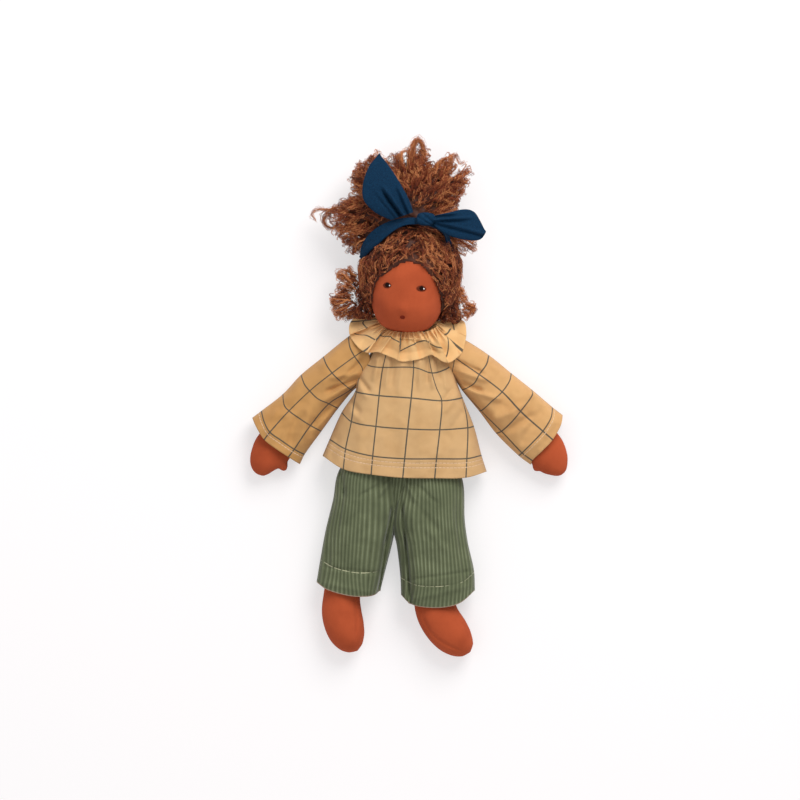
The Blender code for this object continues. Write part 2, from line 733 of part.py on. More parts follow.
def build_torso(frame):
    """The stuffed body, open where the neck enters it."""
    trunk = trunk_sections()
    top = trunk[-1]
    neck_opening = NECK_RADIUS + GAP + SKIN
    shoulder_slope = [
        Section(
            top.along + (TORSO_TOP_Y - top.along) * run_share,
            -HEAD_SLIP * slip_share,
            TORSO_LEVEL + (NECK_LEVEL - TORSO_LEVEL) * run_share,
            neck_opening + (top.wide - neck_opening) * narrow_share,
            neck_opening + (top.up - neck_opening) * slim_share,
            neck_opening + (top.down - neck_opening) * slim_share,
        )
        for run_share, slip_share, narrow_share, slim_share in (
            (0.35, 0.7, 0.74, 0.81),
            (0.7, 1.0, 0.35, 0.32),
            (1.0, 1.0, 0.0, 0.0),
        )
    ]
    node("torso_skin", bag([*trunk, *shoulder_slope], SKIN, BODY_SIDES), "jersey", frame)
    wool = grown(trunk, -SKIN - WOOL_GAP)
    wool[-1] = replace(wool[-1], along=CHIN_Y - NECK_STUB - WOOL_GAP)
    node("torso_wool", solid(wool, BODY_SIDES), "wool", frame)


def sleeve_sections():
    """The sleeve from its rounded head in the armhole to the wide cuff."""
    radius = SLEEVE_HEAD_RADIUS
    depth = SHOULDER_LEVEL
    sections = []
    for along_share in (-0.74, -0.62, -0.45, -0.2):
        room = radius * math.sqrt(1 - along_share**2)
        width = min(SLEEVE_HEAD_HALF_WIDTH, room)
        reach = min(depth, room)
        sections.append(Section(radius * along_share, 0, SHOULDER_LEVEL, width, reach, reach))
    widen = CUFF_HALF_WIDTH - SLEEVE_HEAD_HALF_WIDTH
    shares = ((0.08, 0.0, 1.0), (0.35, 0.34, 0.97), (0.7, 0.78, 0.9), (1.0, 1.0, 0.84))
    for run_share, widen_share, deep_share in shares:
        reach = depth * deep_share
        width = SLEEVE_HEAD_HALF_WIDTH + widen * widen_share
        sections.append(Section(SLEEVE_LENGTH * run_share, 0, reach - FLOOR_CUT, width, reach, reach))
    return sections


def arm_sections(thumb_side):
    """The arm from its gathered top, through the wrist, to the mitten hand."""
    top = SLEEVE_HEAD_RADIUS
    gathered = ((-0.96, 0.24), (-0.88, 0.38), (-0.62, 0.52))
    sections = [
        Section(top * run_share, 0, SHOULDER_LEVEL, top * girth_share, top * girth_share, top * girth_share)
        for run_share, girth_share in gathered
    ]
    shares = (
        (0.0, 0.0, 0.92, 1.0),
        (0.2, 0.0, 1.0, 1.0),
        (0.45, 0.0, 0.97, 0.98),
        (0.68, 0.04, 0.86, 0.86),
        (0.76, 0.08, 0.95, 0.78),
        (0.84, 0.1, 1.15, 0.74),
        (0.92, 0.24, 1.06, 0.7),
    )
    for run_share, drift_share, wide_share, deep_share in shares:
        drift = thumb_side * HAND_HALF_WIDTH * drift_share
        depth = ARM_HALF_DEPTH * deep_share
        level = ARM_LIFT + depth + HAND_RISE * (1 - deep_share)
        width = ARM_HALF_WIDTH * wide_share
        sections.append(Section(ARM_LENGTH * run_share, drift, level, width, depth, depth))
    hand_end = sections[-1]
    return [*sections, *domed(hand_end, ARM_LENGTH - hand_end.along)]


def thumb_mesh(thumb_side, spread=0.0):
    """The stub of a thumb at the hand's edge."""
    mesh = bmesh.new()
    bmesh.ops.create_uvsphere(mesh, u_segments=LIMB_SIDES, v_segments=LIMB_SIDES // 2, radius=1)
    radius = THUMB_RADIUS + spread
    reach = Matrix.Diagonal((THUMB_HALF_LENGTH + spread, radius, radius, 1))
    centre = (thumb_side * (HAND_HALF_WIDTH + THUMB_RADIUS / 2), THUMB_PLACE, ARM_HALF_DEPTH)
    turn = Matrix.Rotation(thumb_side * THUMB_TURN, 4, "Z")
    bmesh.ops.transform(mesh, matrix=Matrix.Translation(centre) @ turn @ reach, verts=mesh.verts)
    return mesh


def build_arm(side_name, side, drop, body):
    """One arm in its sleeve. The sewing thread runs along the axis on which the arm swings forward."""
    pivot = (side * SHOULDER_HALF_SPAN, SHOULDER_Y, SHOULDER_LEVEL)
    shoulder = joint_frame(f"{side_name}_shoulder", pivot, -side * (math.pi / 2 + drop), body)
    sections = arm_sections(side)
    thread_centre = (0, 0, SHOULDER_LEVEL)
    through = ARM_HALF_WIDTH + CUT_OVERRUN

    hole_mesh = rod(SHOULDER_THREAD + GAP, through, thread_centre, "X", LIMB_SIDES)
    hole = helper(node(f"{side_name}_thread_hole", hole_mesh, "thread", shoulder, limb=True))
    thumb = helper(node(f"{side_name}_thumb", thumb_mesh(side), "jersey", shoulder, limb=True))
    skin_mesh = bag(sections, SKIN, LIMB_SIDES, open_at_start=True)
    skin = node(f"{side_name}_arm_skin", skin_mesh, "jersey", shoulder, limb=True)
    combine(skin, thumb, "UNION")
    combine(skin, hole)
    wool_mesh = solid(grown(sections, -SKIN - WOOL_GAP), LIMB_SIDES)
    wool = node(f"{side_name}_arm_wool", wool_mesh, "wool", shoulder, limb=True)
    room_mesh = thumb_mesh(side, WOOL_GAP)
    thumb_room = helper(node(f"{side_name}_thumb_clearance", room_mesh, "jersey", shoulder, limb=True))
    combine(wool, hole)
    combine(wool, thumb_room)
    thread = rod(SHOULDER_THREAD, SHOULDER_THREAD_LENGTH / 2, thread_centre, "X", LIMB_SIDES)
    node(f"{side_name}_shoulder_thread", thread, "thread", shoulder, limb=True)
    sleeve = cut_flat(tube(sleeve_sections(), BLOUSE_CLOTH, CLOTH_SIDES, SLEEVE_SQUARENESS))
    node(f"{side_name}_sleeve", sleeve, "check_cotton", shoulder, limb=True)


def hip_sections(radius, half_width):
    """The rounded top of the leg, part of a cylinder on the hip's axis."""
    sections = []
    for share, wide_share in ((-0.99, 0.88), (-0.92, 0.89), (-0.74, 0.91), (-0.5, 0.94), (-0.25, 0.97)):
        reach = radius * math.sqrt(1 - share**2)
        sections.append(Section(radius * share, 0, HIP_LEVEL, half_width * wide_share, reach, reach))
    return sections


def leg_sections(inset, ankle_drift, toe_drift):
    """The leg from the hip's axis to the toes, with its surface moved in by ``inset``."""
    radius = HIP_RADIUS - TROUSER_CLOTH - GAP
    in_trousers = (
        (0.25, 0.95, 0.83, 0.4),
        (0.5, 0.88, 0.68, 0.8),
        (0.66, 0.86, 0.66, 1.0),
    )
    foot = (
        (0.78, 0.92, 0.76, 0.9, 0.22),
        (0.88, 0.90, 0.74, 0.5, 0.6),
    )
    half_width = LEG_HALF_WIDTH - inset
    sections = [Section(0, 0, HIP_LEVEL, half_width, radius - inset, radius - inset)]
    for run_share, wide_share, deep_share, ankle_share in in_trousers:
        reach = radius * deep_share
        width = LEG_HALF_WIDTH * wide_share - inset
        drift = ankle_drift * ankle_share
        level = THIGH_LIFT + reach
        sections.append(Section(LEG_LENGTH * run_share, drift, level, width, reach - inset, reach - inset))
    for run_share, wide_share, deep_share, ankle_share, toe_share in foot:
        reach = radius * deep_share
        width = LEG_HALF_WIDTH * wide_share - inset
        drift = ankle_drift * ankle_share + toe_drift * toe_share
        level = reach - FLOOR_CUT + TOE_RISE * toe_share
        sections.append(Section(LEG_LENGTH * run_share, drift, level, width, reach - inset, reach - inset))
    toe = sections[-1]
    tips = domed(toe, LEG_LENGTH - toe.along - inset, toe_drift * TOE_TURN_SHARE - toe.aside)
    return [*hip_sections(radius - inset, half_width), *sections, *tips]


def trouser_sections():
    """A trouser leg from the hip to its hem."""
    sections = hip_sections(HIP_RADIUS, TROUSER_HALF_WIDTH)[2:]
    sections.append(Section(0, 0, HIP_LEVEL, TROUSER_HALF_WIDTH, HIP_RADIUS, HIP_RADIUS))
    for run_share, slim_share in ((0.25, 0.25), (0.6, 0.7), (1.0, 1.0)):
        reach = HIP_RADIUS + (HEM_HALF_DEPTH - HIP_RADIUS) * slim_share
        drift = HEM_SPREAD * run_share
        bow = -TROUSER_HEM_BOW * run_share
        y = TROUSER_LEG_LENGTH * run_share
        sections.append(Section(y, drift, reach - FLOOR_CUT, TROUSER_HALF_WIDTH, reach, reach, bow))
    return sections


def outward(sections, sign):
    """The same sections with their sideways drift turned to the doll's left or right."""
    return [replace(section, aside=sign * section.aside) for section in sections]


def build_leg(side_name, side, ankle_drift, toe_drift, body):
    """One leg in its trouser leg, on a hip axis that runs across the doll."""
    hip = joint_frame(f"{side_name}_hip", (side * HIP_HALF_SPAN, HIP_Y, HIP_LEVEL), math.pi, body)
    outer, lining, wool = (
        outward(leg_sections(inset, ankle_drift, toe_drift), -side)
        for inset in (0.0, SKIN, SKIN + WOOL_GAP)
    )
    skin = cut_flat(loft([*reversed(framed(outer[1:], True)), *framed(lining[1:], True)], LIMB_SIDES))
    node(f"{side_name}_leg_skin", skin, "jersey", hip, limb=True)
    node(f"{side_name}_leg_wool", loft(framed(wool[1:], True), LIMB_SIDES), "wool", hip, limb=True)
    cloth_sections = outward(trouser_sections(), -side)
    cloth = cut_flat(tube(cloth_sections, TROUSER_CLOTH, CLOTH_SIDES, TROUSER_SQUARENESS))
    node(f"{side_name}_trouser_leg", cloth, "corduroy", hip, limb=True)


def build_trouser_seat(frame):
    """The seat of the trousers, from the elastic waist to the hip seams, and the elastic."""
    half = SEAT_THICKNESS
    elastic_reach = TORSO_THICKNESS / 2 - WAIST_PINCH + GAP + WAIST_ELASTIC_CLOTH
    elastic_width = WAIST_HALF_WIDTH + GAP + WAIST_ELASTIC_CLOTH
    waist_reach = elastic_reach + GAP + TROUSER_CLOTH
    waist_width = elastic_width + GAP + TROUSER_CLOTH
    hip_width = HIP_HALF_SPAN + TROUSER_HALF_WIDTH
    below_waist = WAIST_Y - WAIST_ELASTIC_WIDTH - HIP_Y
    sections = [
        Section(HIP_Y + below_waist * run_share, 0, TORSO_LEVEL, width, half * up_share, half)
        for run_share, width, up_share in (
            (0.0, hip_width, 0.94),
            (0.22, hip_width, 0.97),
            (0.56, (hip_width + waist_width) / 2, 1.0),
            (1.0, waist_width + GAP, 1.0),
        )
    ]
    elastic = []
    for shift in (-WAIST_ELASTIC_WIDTH / 2, WAIST_ELASTIC_WIDTH / 2):
        y = WAIST_Y + shift
        sections.append(Section(y + GAP, 0, TORSO_LEVEL, waist_width, waist_reach, waist_reach))
        elastic.append(Section(y, 0, TORSO_LEVEL, elastic_width, elastic_reach, elastic_reach))
    seat_mesh = tube(sections, TROUSER_CLOTH, CLOTH_SIDES, SLEEVE_SQUARENESS)
    seat = node("trouser_seat", seat_mesh, "corduroy", frame)
    socket = rod(THIGH_SOCKET_RADIUS, hip_width + CUT_OVERRUN, (0, HIP_Y, HIP_LEVEL), "X")
    combine(seat, helper(node("thigh_socket", socket, "corduroy", frame)))
    node("waist_elastic", tube(elastic, WAIST_ELASTIC_CLOTH, BODY_SIDES), "elastic", frame)


def blouse_sections():
    """The blouse's body from its curved hem, over the chest, to the gathered neckline."""
    level = BLOUSE_EDGE_LEVEL
    front = BLOUSE_FRONT - level
    back = level + FLOOR_CUT
    widen = BLOUSE_HEM_HALF_WIDTH - BLOUSE_CHEST_HALF_WIDTH
    hem_run = SHOULDER_Y - SLEEVE_HEAD_RADIUS - BLOUSE_HEM_Y
    shares = ((0.0, 1.0, 1.0), (0.25, 0.72, 0.8), (0.6, 0.36, 0.6), (1.0, 0.0, 0.6))
    sections = [
        Section(
            BLOUSE_HEM_Y + hem_run * run_share,
            0,
            level,
            BLOUSE_CHEST_HALF_WIDTH + widen * widen_share,
            front,
            back,
            HEM_BOW * (1 - run_share),
            BLOUSE_FOLD_HEIGHT * fold_share,
        )
        for run_share, widen_share, fold_share in shares
    ]
    yoke_width = BLOUSE_CHEST_HALF_WIDTH * YOKE_WIDTH_SHARE
    yoke = Section(SHOULDER_Y, 0, level, yoke_width, front * YOKE_DEPTH_SHARE, back)
    sections.append(replace(yoke, fold=BLOUSE_FOLD_HEIGHT / 2))
    slope_level = (level + NECKLINE_LEVEL) / 2
    sections.append(
        Section(
            (SHOULDER_Y + NECKLINE_Y) / 2,
            0,
            slope_level,
            (BLOUSE_CHEST_HALF_WIDTH + NECKLINE_HALF_WIDTH) / 2,
            BLOUSE_FRONT - slope_level,
            slope_level - COLLAR_ROOM,
            NECKLINE_BOW / 2,
        )
    )
    depth = NECKLINE_HALF_DEPTH
    sections.append(Section(NECKLINE_Y, 0, NECKLINE_LEVEL, NECKLINE_HALF_WIDTH, depth, depth, NECKLINE_BOW))
    return sections


def ruffle_point(turn, run_share, out_share, fold_share):
    """Where the collar lies: out from the neckline, then over the shoulders, waved towards its edge."""
    side = math.cos(turn)
    front = math.sin(turn)
    on_front = max(front, 0.0)
    drop = COLLAR_DROP if front > 0 else COLLAR_BACK_DROP
    far_level = COLLAR_FRONT_LEVEL if front > 0 else COLLAR_BACK_LEVEL
    edge_level = COLLAR_SIDE_LEVEL + (far_level - COLLAR_SIDE_LEVEL) * abs(front)
    neck_width = NECKLINE_HALF_WIDTH - BLOUSE_CLOTH / 2
    neck_depth = NECKLINE_HALF_DEPTH - BLOUSE_CLOTH / 2
    start = Vector(
        (
            neck_width * side,
            NECKLINE_Y + NECKLINE_BOW * side**2 + GAP + COLLAR_CLOTH,
            NECKLINE_LEVEL + neck_depth * front,
        )
    )
    edge = Vector((COLLAR_HALF_SPAN * side, COLLAR_SIDE_Y - drop * math.sqrt(abs(front)), edge_level))
    place = start.lerp(edge, out_share)
    place.y = start.y + (edge.y - start.y) * run_share
    lively_share = COLLAR_CALM_SHARE + (1 - COLLAR_CALM_SHARE) * on_front
    place.z += COLLAR_FOLD_HEIGHT * fold_share * lively_share * math.sin(COLLAR_FOLDS * turn)
    return place


def ruffle_mesh():
    """The gathered collar: rings of cloth bridged from the neckline to a wider, waved edge."""
    mesh = bmesh.new()
    rows = ((0.0, 0.0, 0.0), (0.0, 0.5, 0.2), (0.12, 0.8, 0.5), (0.5, 0.95, 0.8), (1.0, 1.0, 1.0))
    for run_share, out_share, fold_share in rows:
        ring = bmesh.ops.create_circle(mesh, segments=POINTS_PER_FOLD * COLLAR_FOLDS, radius=1)["verts"]
        for vert in ring:
            turn = math.atan2(vert.co.y, vert.co.x)
            vert.co = ruffle_point(turn, run_share, out_share, fold_share)
    bmesh.ops.bridge_loops(mesh, edges=mesh.edges)
    face_out(mesh)
    return mesh


def build_blouse(frame):
    """The blouse's body with round armholes, its ruffled collar and the elastic in the neckline."""
    blouse_mesh = cut_flat(tube(blouse_sections(), BLOUSE_CLOTH, BLOUSE_SIDES, BLOUSE_SQUARENESS))
    blouse = node("blouse_body", blouse_mesh, "check_cotton", frame)
    rings = CUTTER_SIDES // 2
    for name, side in (("left_armhole", 1), ("right_armhole", -1)):
        ball = bmesh.new()
        radius = SLEEVE_HEAD_RADIUS + ARMHOLE_EASE
        bmesh.ops.create_uvsphere(ball, u_segments=CUTTER_SIDES, v_segments=rings, radius=radius)
        pivot = (side * SHOULDER_HALF_SPAN, SHOULDER_Y, SHOULDER_LEVEL)
        bmesh.ops.translate(ball, vec=pivot, verts=ball.verts)
        combine(blouse, helper(node(name, ball, "check_cotton", frame)))
    elastic_centre = (0, NECKLINE_Y - ELASTIC_TUCK, NECKLINE_LEVEL)
    inside = BLOUSE_CLOTH + GAP + ELASTIC_RADIUS
    half_width = NECKLINE_HALF_WIDTH - inside
    half_depth = NECKLINE_HALF_DEPTH - inside
    elastic = thread_ring(elastic_centre, half_width, half_depth, ELASTIC_RADIUS)
    node("neck_elastic", elastic, "elastic", frame)
    collar = node("ruffle_collar", ruffle_mesh(), "check_cotton", frame)
    thick = collar.modifiers.new("cloth", "SOLIDIFY")
    thick.thickness = COLLAR_CLOTH
    thick.offset = 0.0


def main():
    """Clears the scene and builds the doll."""
    for obj in list(bpy.data.objects):
        bpy.data.objects.remove(obj)
    body = joint_frame("doll", (0, 0, 0))
    head = joint_frame("neck", (-HEAD_SLIP, TORSO_TOP_Y, NECK_LEVEL), parent=body)
    head_clearance = build_head(head)
    cap_clearance, band_clearance = build_hair(head, head_clearance)
    build_headband(head, cap_clearance, band_clearance)
    build_torso(body)
    build_trouser_seat(body)
    build_blouse(body)
    build_arm("left", 1, LEFT_ARM_DROP, body)
    build_arm("right", -1, RIGHT_ARM_DROP, body)
    build_leg("left", 1, LEFT_ANKLE_DRIFT, LEFT_TOE_DRIFT, body)
    build_leg("right", -1, RIGHT_ANKLE_DRIFT, RIGHT_TOE_DRIFT, body)
    bpy.context.view_layer.update()


main()
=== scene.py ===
"""A Waldorf doll in its clothes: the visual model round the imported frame, with its studio.

Metres, +Z up. +Y runs to the doll's head, +X to its left hand, and Z = 0 is the floor that it lies on.
"""

import logging
import math
import random
from collections.abc import Callable, Sequence
from dataclasses import dataclass, field
from enum import Enum
from functools import cached_property
from typing import Any

import bmesh
import bpy
from mathutils import Matrix, Vector, noise
from mathutils.bvhtree import BVHTree


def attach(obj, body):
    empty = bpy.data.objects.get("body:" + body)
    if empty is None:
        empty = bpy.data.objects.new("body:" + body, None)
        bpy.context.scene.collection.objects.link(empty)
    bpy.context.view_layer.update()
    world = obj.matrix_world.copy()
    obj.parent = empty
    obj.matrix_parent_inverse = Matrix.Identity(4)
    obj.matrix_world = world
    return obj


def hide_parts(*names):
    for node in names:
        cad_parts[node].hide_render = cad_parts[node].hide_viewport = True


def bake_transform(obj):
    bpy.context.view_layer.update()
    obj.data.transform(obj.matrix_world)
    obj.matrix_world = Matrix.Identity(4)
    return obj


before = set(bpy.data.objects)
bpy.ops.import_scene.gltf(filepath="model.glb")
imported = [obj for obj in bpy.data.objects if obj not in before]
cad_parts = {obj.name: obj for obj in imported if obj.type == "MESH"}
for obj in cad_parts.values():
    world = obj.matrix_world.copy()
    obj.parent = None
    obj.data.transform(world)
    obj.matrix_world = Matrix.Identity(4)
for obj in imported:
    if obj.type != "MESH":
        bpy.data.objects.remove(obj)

MM = 0.001
LOG = logging.getLogger("doll")
CLOTH_MAP = "cloth"
LOCK_MAP = "lock"

# Millimetres of cloth in one unit of its map
CLOTH_UNIT = 100
# The least height over the floor, in millimetres
LOWEST = 0.4

Place = Callable[[float, float], tuple[Vector, tuple[float, float]]]
Stations = Sequence[tuple[float, ...]]


class Side(Enum):
    """The doll's own left and right; the value is the sign of X there."""

    LEFT = 1
    RIGHT = -1

    @property
    def label(self) -> str:
        """The side's name as the nodes write it."""
        return self.name.lower()


# Shader expressions


class Value:
    """A shader value. Arithmetic on it adds Math nodes to its graph."""

    def __init__(self, graph: "Graph", socket: bpy.types.NodeSocket) -> None:
        """Wraps one output socket.

        Args:
            graph: The graph that the socket is in.
            socket: The output socket.
        """
        self.graph = graph
        self.socket = socket

    def _math(self, operation: str, *operands: "Value | float") -> "Value":
        """Adds one Math node.

        Args:
            operation: The node's operation.
            operands: Its inputs, in order.

        Returns:
            The node's result.
        """
        return self.graph.node("ShaderNodeMath", {"operation": operation}, dict(enumerate(operands)))

    def __add__(self, other: "Value | float") -> "Value":
        """The sum."""
        return self._math("ADD", self, other)

    def __sub__(self, other: "Value | float") -> "Value":
        """The difference."""
        return self._math("SUBTRACT", self, other)

    def __rsub__(self, other: float) -> "Value":
        """The difference, with the number first."""
        return self._math("SUBTRACT", other, self)

    def __mul__(self, other: "Value | float") -> "Value":
        """The product."""
        return self._math("MULTIPLY", self, other)

    def __truediv__(self, other: "Value | float") -> "Value":
        """The quotient."""
        return self._math("DIVIDE", self, other)

    def __pow__(self, other: "Value | float") -> "Value":
        """The power."""
        return self._math("POWER", self, other)

    __radd__ = __add__
    __rmul__ = __mul__

    def wave(self) -> "Value":
        """The sine."""
        return self._math("SINE", self)

    def size(self) -> "Value":
        """The value without its sign."""
        return self._math("ABSOLUTE", self)

    def beside(self, other: "Value | float") -> "Value":
        """The larger of the two."""
        return self._math("MAXIMUM", self, other)

    def within(self, other: "Value | float") -> "Value":
        """The smaller of the two."""
        return self._math("MINIMUM", self, other)

    def to_line(self, spacing: float, start: float = 0.0) -> "Value":
        """The distance to the nearest of a row of equally spaced lines.

        Args:
            spacing: From one line to the next.
            start: Where one of the lines is.

        Returns:
            The distance, in the value's own unit.
        """
        shifted = (self - start) / spacing + 0.5
        return (self._math("FRACT", shifted) - 0.5).size() * spacing

    def fade(self, start: float, end: float) -> "Value":
        """Rises from 0 at ``start`` to 1 at ``end``, or falls where ``end`` is the smaller.

        Args:
            start: Where the result is 0.
            end: Where the result is 1.

        Returns:
            The eased share.
        """
        if start > end:
            return 1 - self.fade(end, start)
        settings = {"interpolation_type": "SMOOTHSTEP"}
        return self.graph.node("ShaderNodeMapRange", settings, {0: self, 1: start, 2: end})


class Graph:
    """One material's node tree, written as expressions."""

    def __init__(self, name: str) -> None:
        """Starts a Principled material.

        Args:
            name: The material's name.
        """
        self.material = bpy.data.materials.new(name)
        self.material.use_nodes = True
        self.tree = self.material.node_tree
        self.shader = self.tree.nodes["Principled BSDF"]

    def node(
        self,
        kind: str,
        settings: dict[str, Any] | None = None,
        sockets: dict[int | str, Any] | None = None,
        output: int | str = 0,
    ) -> Value:
        """Adds any node.

        Args:
            kind: The node's type.
            settings: Its properties; ``stops`` lists a ramp's places and colours.
            sockets: The values or links of its inputs.
            output: Which output to return.

        Returns:
            The chosen output.
        """
        made = self.tree.nodes.new(kind)
        for key, value in (settings or {}).items():
            if key != "stops":
                setattr(made, key, value)
                continue
            ramp = made.color_ramp
            for place, colour in value[2:]:
                ramp.elements.new(place).color = colour
            for element, (place, colour) in zip(ramp.elements, sorted(value, key=lambda stop: stop[0])):
                element.position = place
                element.color = colour
        for key, value in (sockets or {}).items():
            self.feed(made.inputs[key], value)
        return Value(self, made.outputs[output])

    def feed(self, socket: bpy.types.NodeSocket, value: Any) -> None:
        """Links a value to an input, or sets the input.

        Args:
            socket: The input.
            value: A shader value, or what the socket's own setting takes.
        """
        if isinstance(value, Value):
            self.tree.links.new(value.socket, socket)
        else:
            socket.default_value = value

    def place(self) -> Value:
        """The Object coordinates, which every piece shares."""
        return self.node("ShaderNodeTexCoord", output="Object")

    def parts(self, vector: Value) -> list[Value]:
        """The three numbers of a vector."""
        made = self.tree.nodes.new("ShaderNodeSeparateXYZ")
        self.feed(made.inputs[0], vector)
        return [Value(self, output) for output in made.outputs]

    def on_cloth(self) -> Value:
        """The cloth's own coordinates, in units of its map."""
        return self.node("ShaderNodeUVMap", {"uv_map": CLOTH_MAP})

    def cloth(self) -> list[Value]:
        """The cloth's own coordinates, in millimetres across and along the cut piece."""
        return [part * CLOTH_UNIT for part in self.parts(self.on_cloth())[:2]]

    def grain(
        self, where: Value, scale: float, detail: float = 2, stretch: tuple[float, float, float] = (1, 1, 1)
    ) -> Value:
        """Noise, drawn out along the axes.

        Args:
            where: The coordinates.
            scale: The noise's own scale.
            detail: How many finer layers it has.
            stretch: The scale along each axis.

        Returns:
            The noise, from 0 to 1.
        """
        mapped = self.node("ShaderNodeMapping", sockets={"Vector": where, "Scale": stretch})
        return self.node("ShaderNodeTexNoise", sockets={"Vector": mapped, "Scale": scale, "Detail": detail})

    def weave(self, fine: float, long: float) -> tuple[Value, Value]:
        """The uneven threads of a plain weave.

        Args:
            fine: The noise's scale across a thread.
            long: Its scale along a thread.

        Returns:
            The warp and the weft.
        """
        where = self.on_cloth()
        return self.grain(where, 1, stretch=(fine, long, 1)), self.grain(where, 1, stretch=(long, fine, 1))

    def tint(self, share: "Value | float", first: Any, second: Any) -> Value:
        """Mixes two colours.

        Args:
            share: How much of the second.
            first: The colour at 0.
            second: The colour at 1.

        Returns:
            The mixed colour.
        """
        return self.node("ShaderNodeMix", {"data_type": "RGBA"}, {0: share, 6: first, 7: second}, 2)

    def finish(
        self,
        colour: Any,
        roughness: "Value | float",
        height: Value | None = None,
        depth: float = 0.0,
        **fixed: Any,
    ) -> bpy.types.Material:
        """Sets the shader and returns the material.

        Args:
            colour: The base colour.
            roughness: The roughness.
            height: The relief, from 0 to 1, if there is any.
            depth: How deep the relief is, in metres.
            fixed: Other inputs of the shader, by name with underscores for spaces.

        Returns:
            The finished material.
        """
        self.feed(self.shader.inputs["Base Color"], colour)
        self.feed(self.shader.inputs["Roughness"], roughness)
        for name, value in fixed.items():
            self.feed(self.shader.inputs[name.replace("_", " ")], value)
        if height is not None:
            sockets = {"Height": height, "Distance": depth, "Strength": 1.0}
            self.feed(self.shader.inputs["Normal"], self.node("ShaderNodeBump", sockets=sockets))
        return self.material


def paint(code: str) -> tuple[float, float, float, float]:
    """A written colour as a shader takes it.

    Args:
        code: An sRGB hex colour.

    Returns:
        The linear colour with an alpha of 1.
    """
    channels = [int(code[place : place + 2], 16) / 255 for place in (1, 3, 5)]
    return (*(c / 12.92 if c <= 0.04045 else ((c + 0.055) / 1.055) ** 2.4 for c in channels), 1.0)


# Finishes


@dataclass(frozen=True)
class Jersey:
    """Brushed cotton knit, pulled tight over the stuffing."""

    name: str = "skin_jersey"
    colour: str = "#B7532E"
    shade: str = "#973F20"
    stitch: float = 0.9

    def material(self) -> bpy.types.Material:
        """The knit: fine ribs of stitches, a little blotchy, with a soft nap."""
        graph = Graph(self.name)
        where = graph.place()
        blotch = graph.grain(where, 45, 4)
        fuzz = graph.grain(where, 2600)
        ribs = (graph.parts(where)[0] * (math.tau / (self.stitch * MM))).wave() * 0.5 + 0.5
        share = blotch.fade(0.35, 0.75) * 0.55 + fuzz * 0.25
        colour = graph.tint(share, paint(self.colour), paint(self.shade))
        height = ribs * 0.35 + fuzz * 0.65
        return graph.finish(colour, 0.92, height, 0.08 * MM, Specular_IOR_Level=0.25)


@dataclass(frozen=True)
class Mohair:
    """Curly mohair, with painted shade and a painted highlight: dark at the roots, where the curls shade
    each other, and golden at the outer curls, where the light catches them.
    """

    name: str = "mohair"
    root: str = "#300F04"
    body: str = "#8C3E1C"
    tip: str = "#DC9058"

    def material(self) -> bpy.types.Material:
        """Strands that grow paler along each lock, painting shade at the roots and light at the tips, and
        differ from lock to lock.
        """
        graph = Graph(self.name)
        where = graph.place()
        stored = graph.node("ShaderNodeAttribute", {"attribute_name": LOCK_MAP}, output="Vector")
        along, own, _ = graph.parts(stored)
        strands = graph.grain(where, 1400)
        masses = graph.grain(where, 40)
        # Painted shade and highlight: along * along darkens each lock's root and lightens its tip; own is
        # each lock's tone, raised on some locks by painted light from the callers.
        tone = along * along * 0.46 + own * 0.36 + (masses - 0.5) * 0.7 + strands * 0.2
        stops = [(0.12, paint(self.root)), (0.88, paint(self.tip)), (0.46, paint(self.body))]
        colour = graph.node("ShaderNodeValToRGB", {"stops": stops}, {0: tone})
        return graph.finish(colour, 0.62, strands, 0.06 * MM, Specular_IOR_Level=0.35)


@dataclass(frozen=True)
class Linen:
    """Slubby linen, woven from one dark colour."""

    name: str = "linen"
    colour: str = "#0B3654"
    shade: str = "#051B2E"
    pale: str = "#22587A"

    def material(self) -> bpy.types.Material:
        """Crossed threads of uneven thickness."""
        graph = Graph(self.name)
        warp, weft = graph.weave(900, 70)
        threads = warp * 0.5 + weft * 0.5
        base = graph.tint(threads.fade(0.35, 0.65), paint(self.shade), paint(self.colour))
        slubs = warp.beside(weft).fade(0.62, 0.8) * 0.5
        colour = graph.tint(slubs, base, paint(self.pale))
        return graph.finish(colour, 0.9, threads, 0.25 * MM, Specular_IOR_Level=0.15)


@dataclass(frozen=True)
class CheckCotton:
    """Plain-woven cotton with a windowpane check and pale stitching along its hem."""

    name: str
    square: float = 21.5
    along_start: float = 0.0
    hems: tuple[float, ...] = ()
    colour: str = "#D3AB77"
    shade: str = "#BF935D"
    line: str = "#2F3A38"
    stitches: str = "#E2BF9A"
    stitch: float = 2.6

    def material(self) -> bpy.types.Material:
        """The weave, its check and its stitching, all on the cloth's own coordinates."""
        graph = Graph(self.name)
        across, along = graph.cloth()
        warp, weft = graph.weave(1100, 60)
        wash = graph.grain(graph.place(), 60, 3)
        threads = warp * 0.5 + weft * 0.5
        share = threads * 0.5 + wash.fade(0.4, 0.75) * 0.4
        base = graph.tint(share, paint(self.colour), paint(self.shade))
        nearest = across.to_line(self.square).within(along.to_line(self.square, self.along_start))
        inked = nearest.fade(0.6, 0.36) * (0.72 + threads * 0.35)
        colour = graph.tint(inked.within(1.0), base, paint(self.line))
        height = threads
        for hem in self.hems:
            beside = (along - hem).size()
            run = across.to_line(self.stitch).fade(1.15, 0.95)
            sewn = beside.fade(0.38, 0.2) * run
            colour = graph.tint(sewn * 0.85, colour, paint(self.stitches))
            height = height - beside.fade(1.2, 0.2) * 0.8 + sewn * 0.8
        return graph.finish(colour, 0.88, height, 0.22 * MM, Sheen_Weight=0.08)


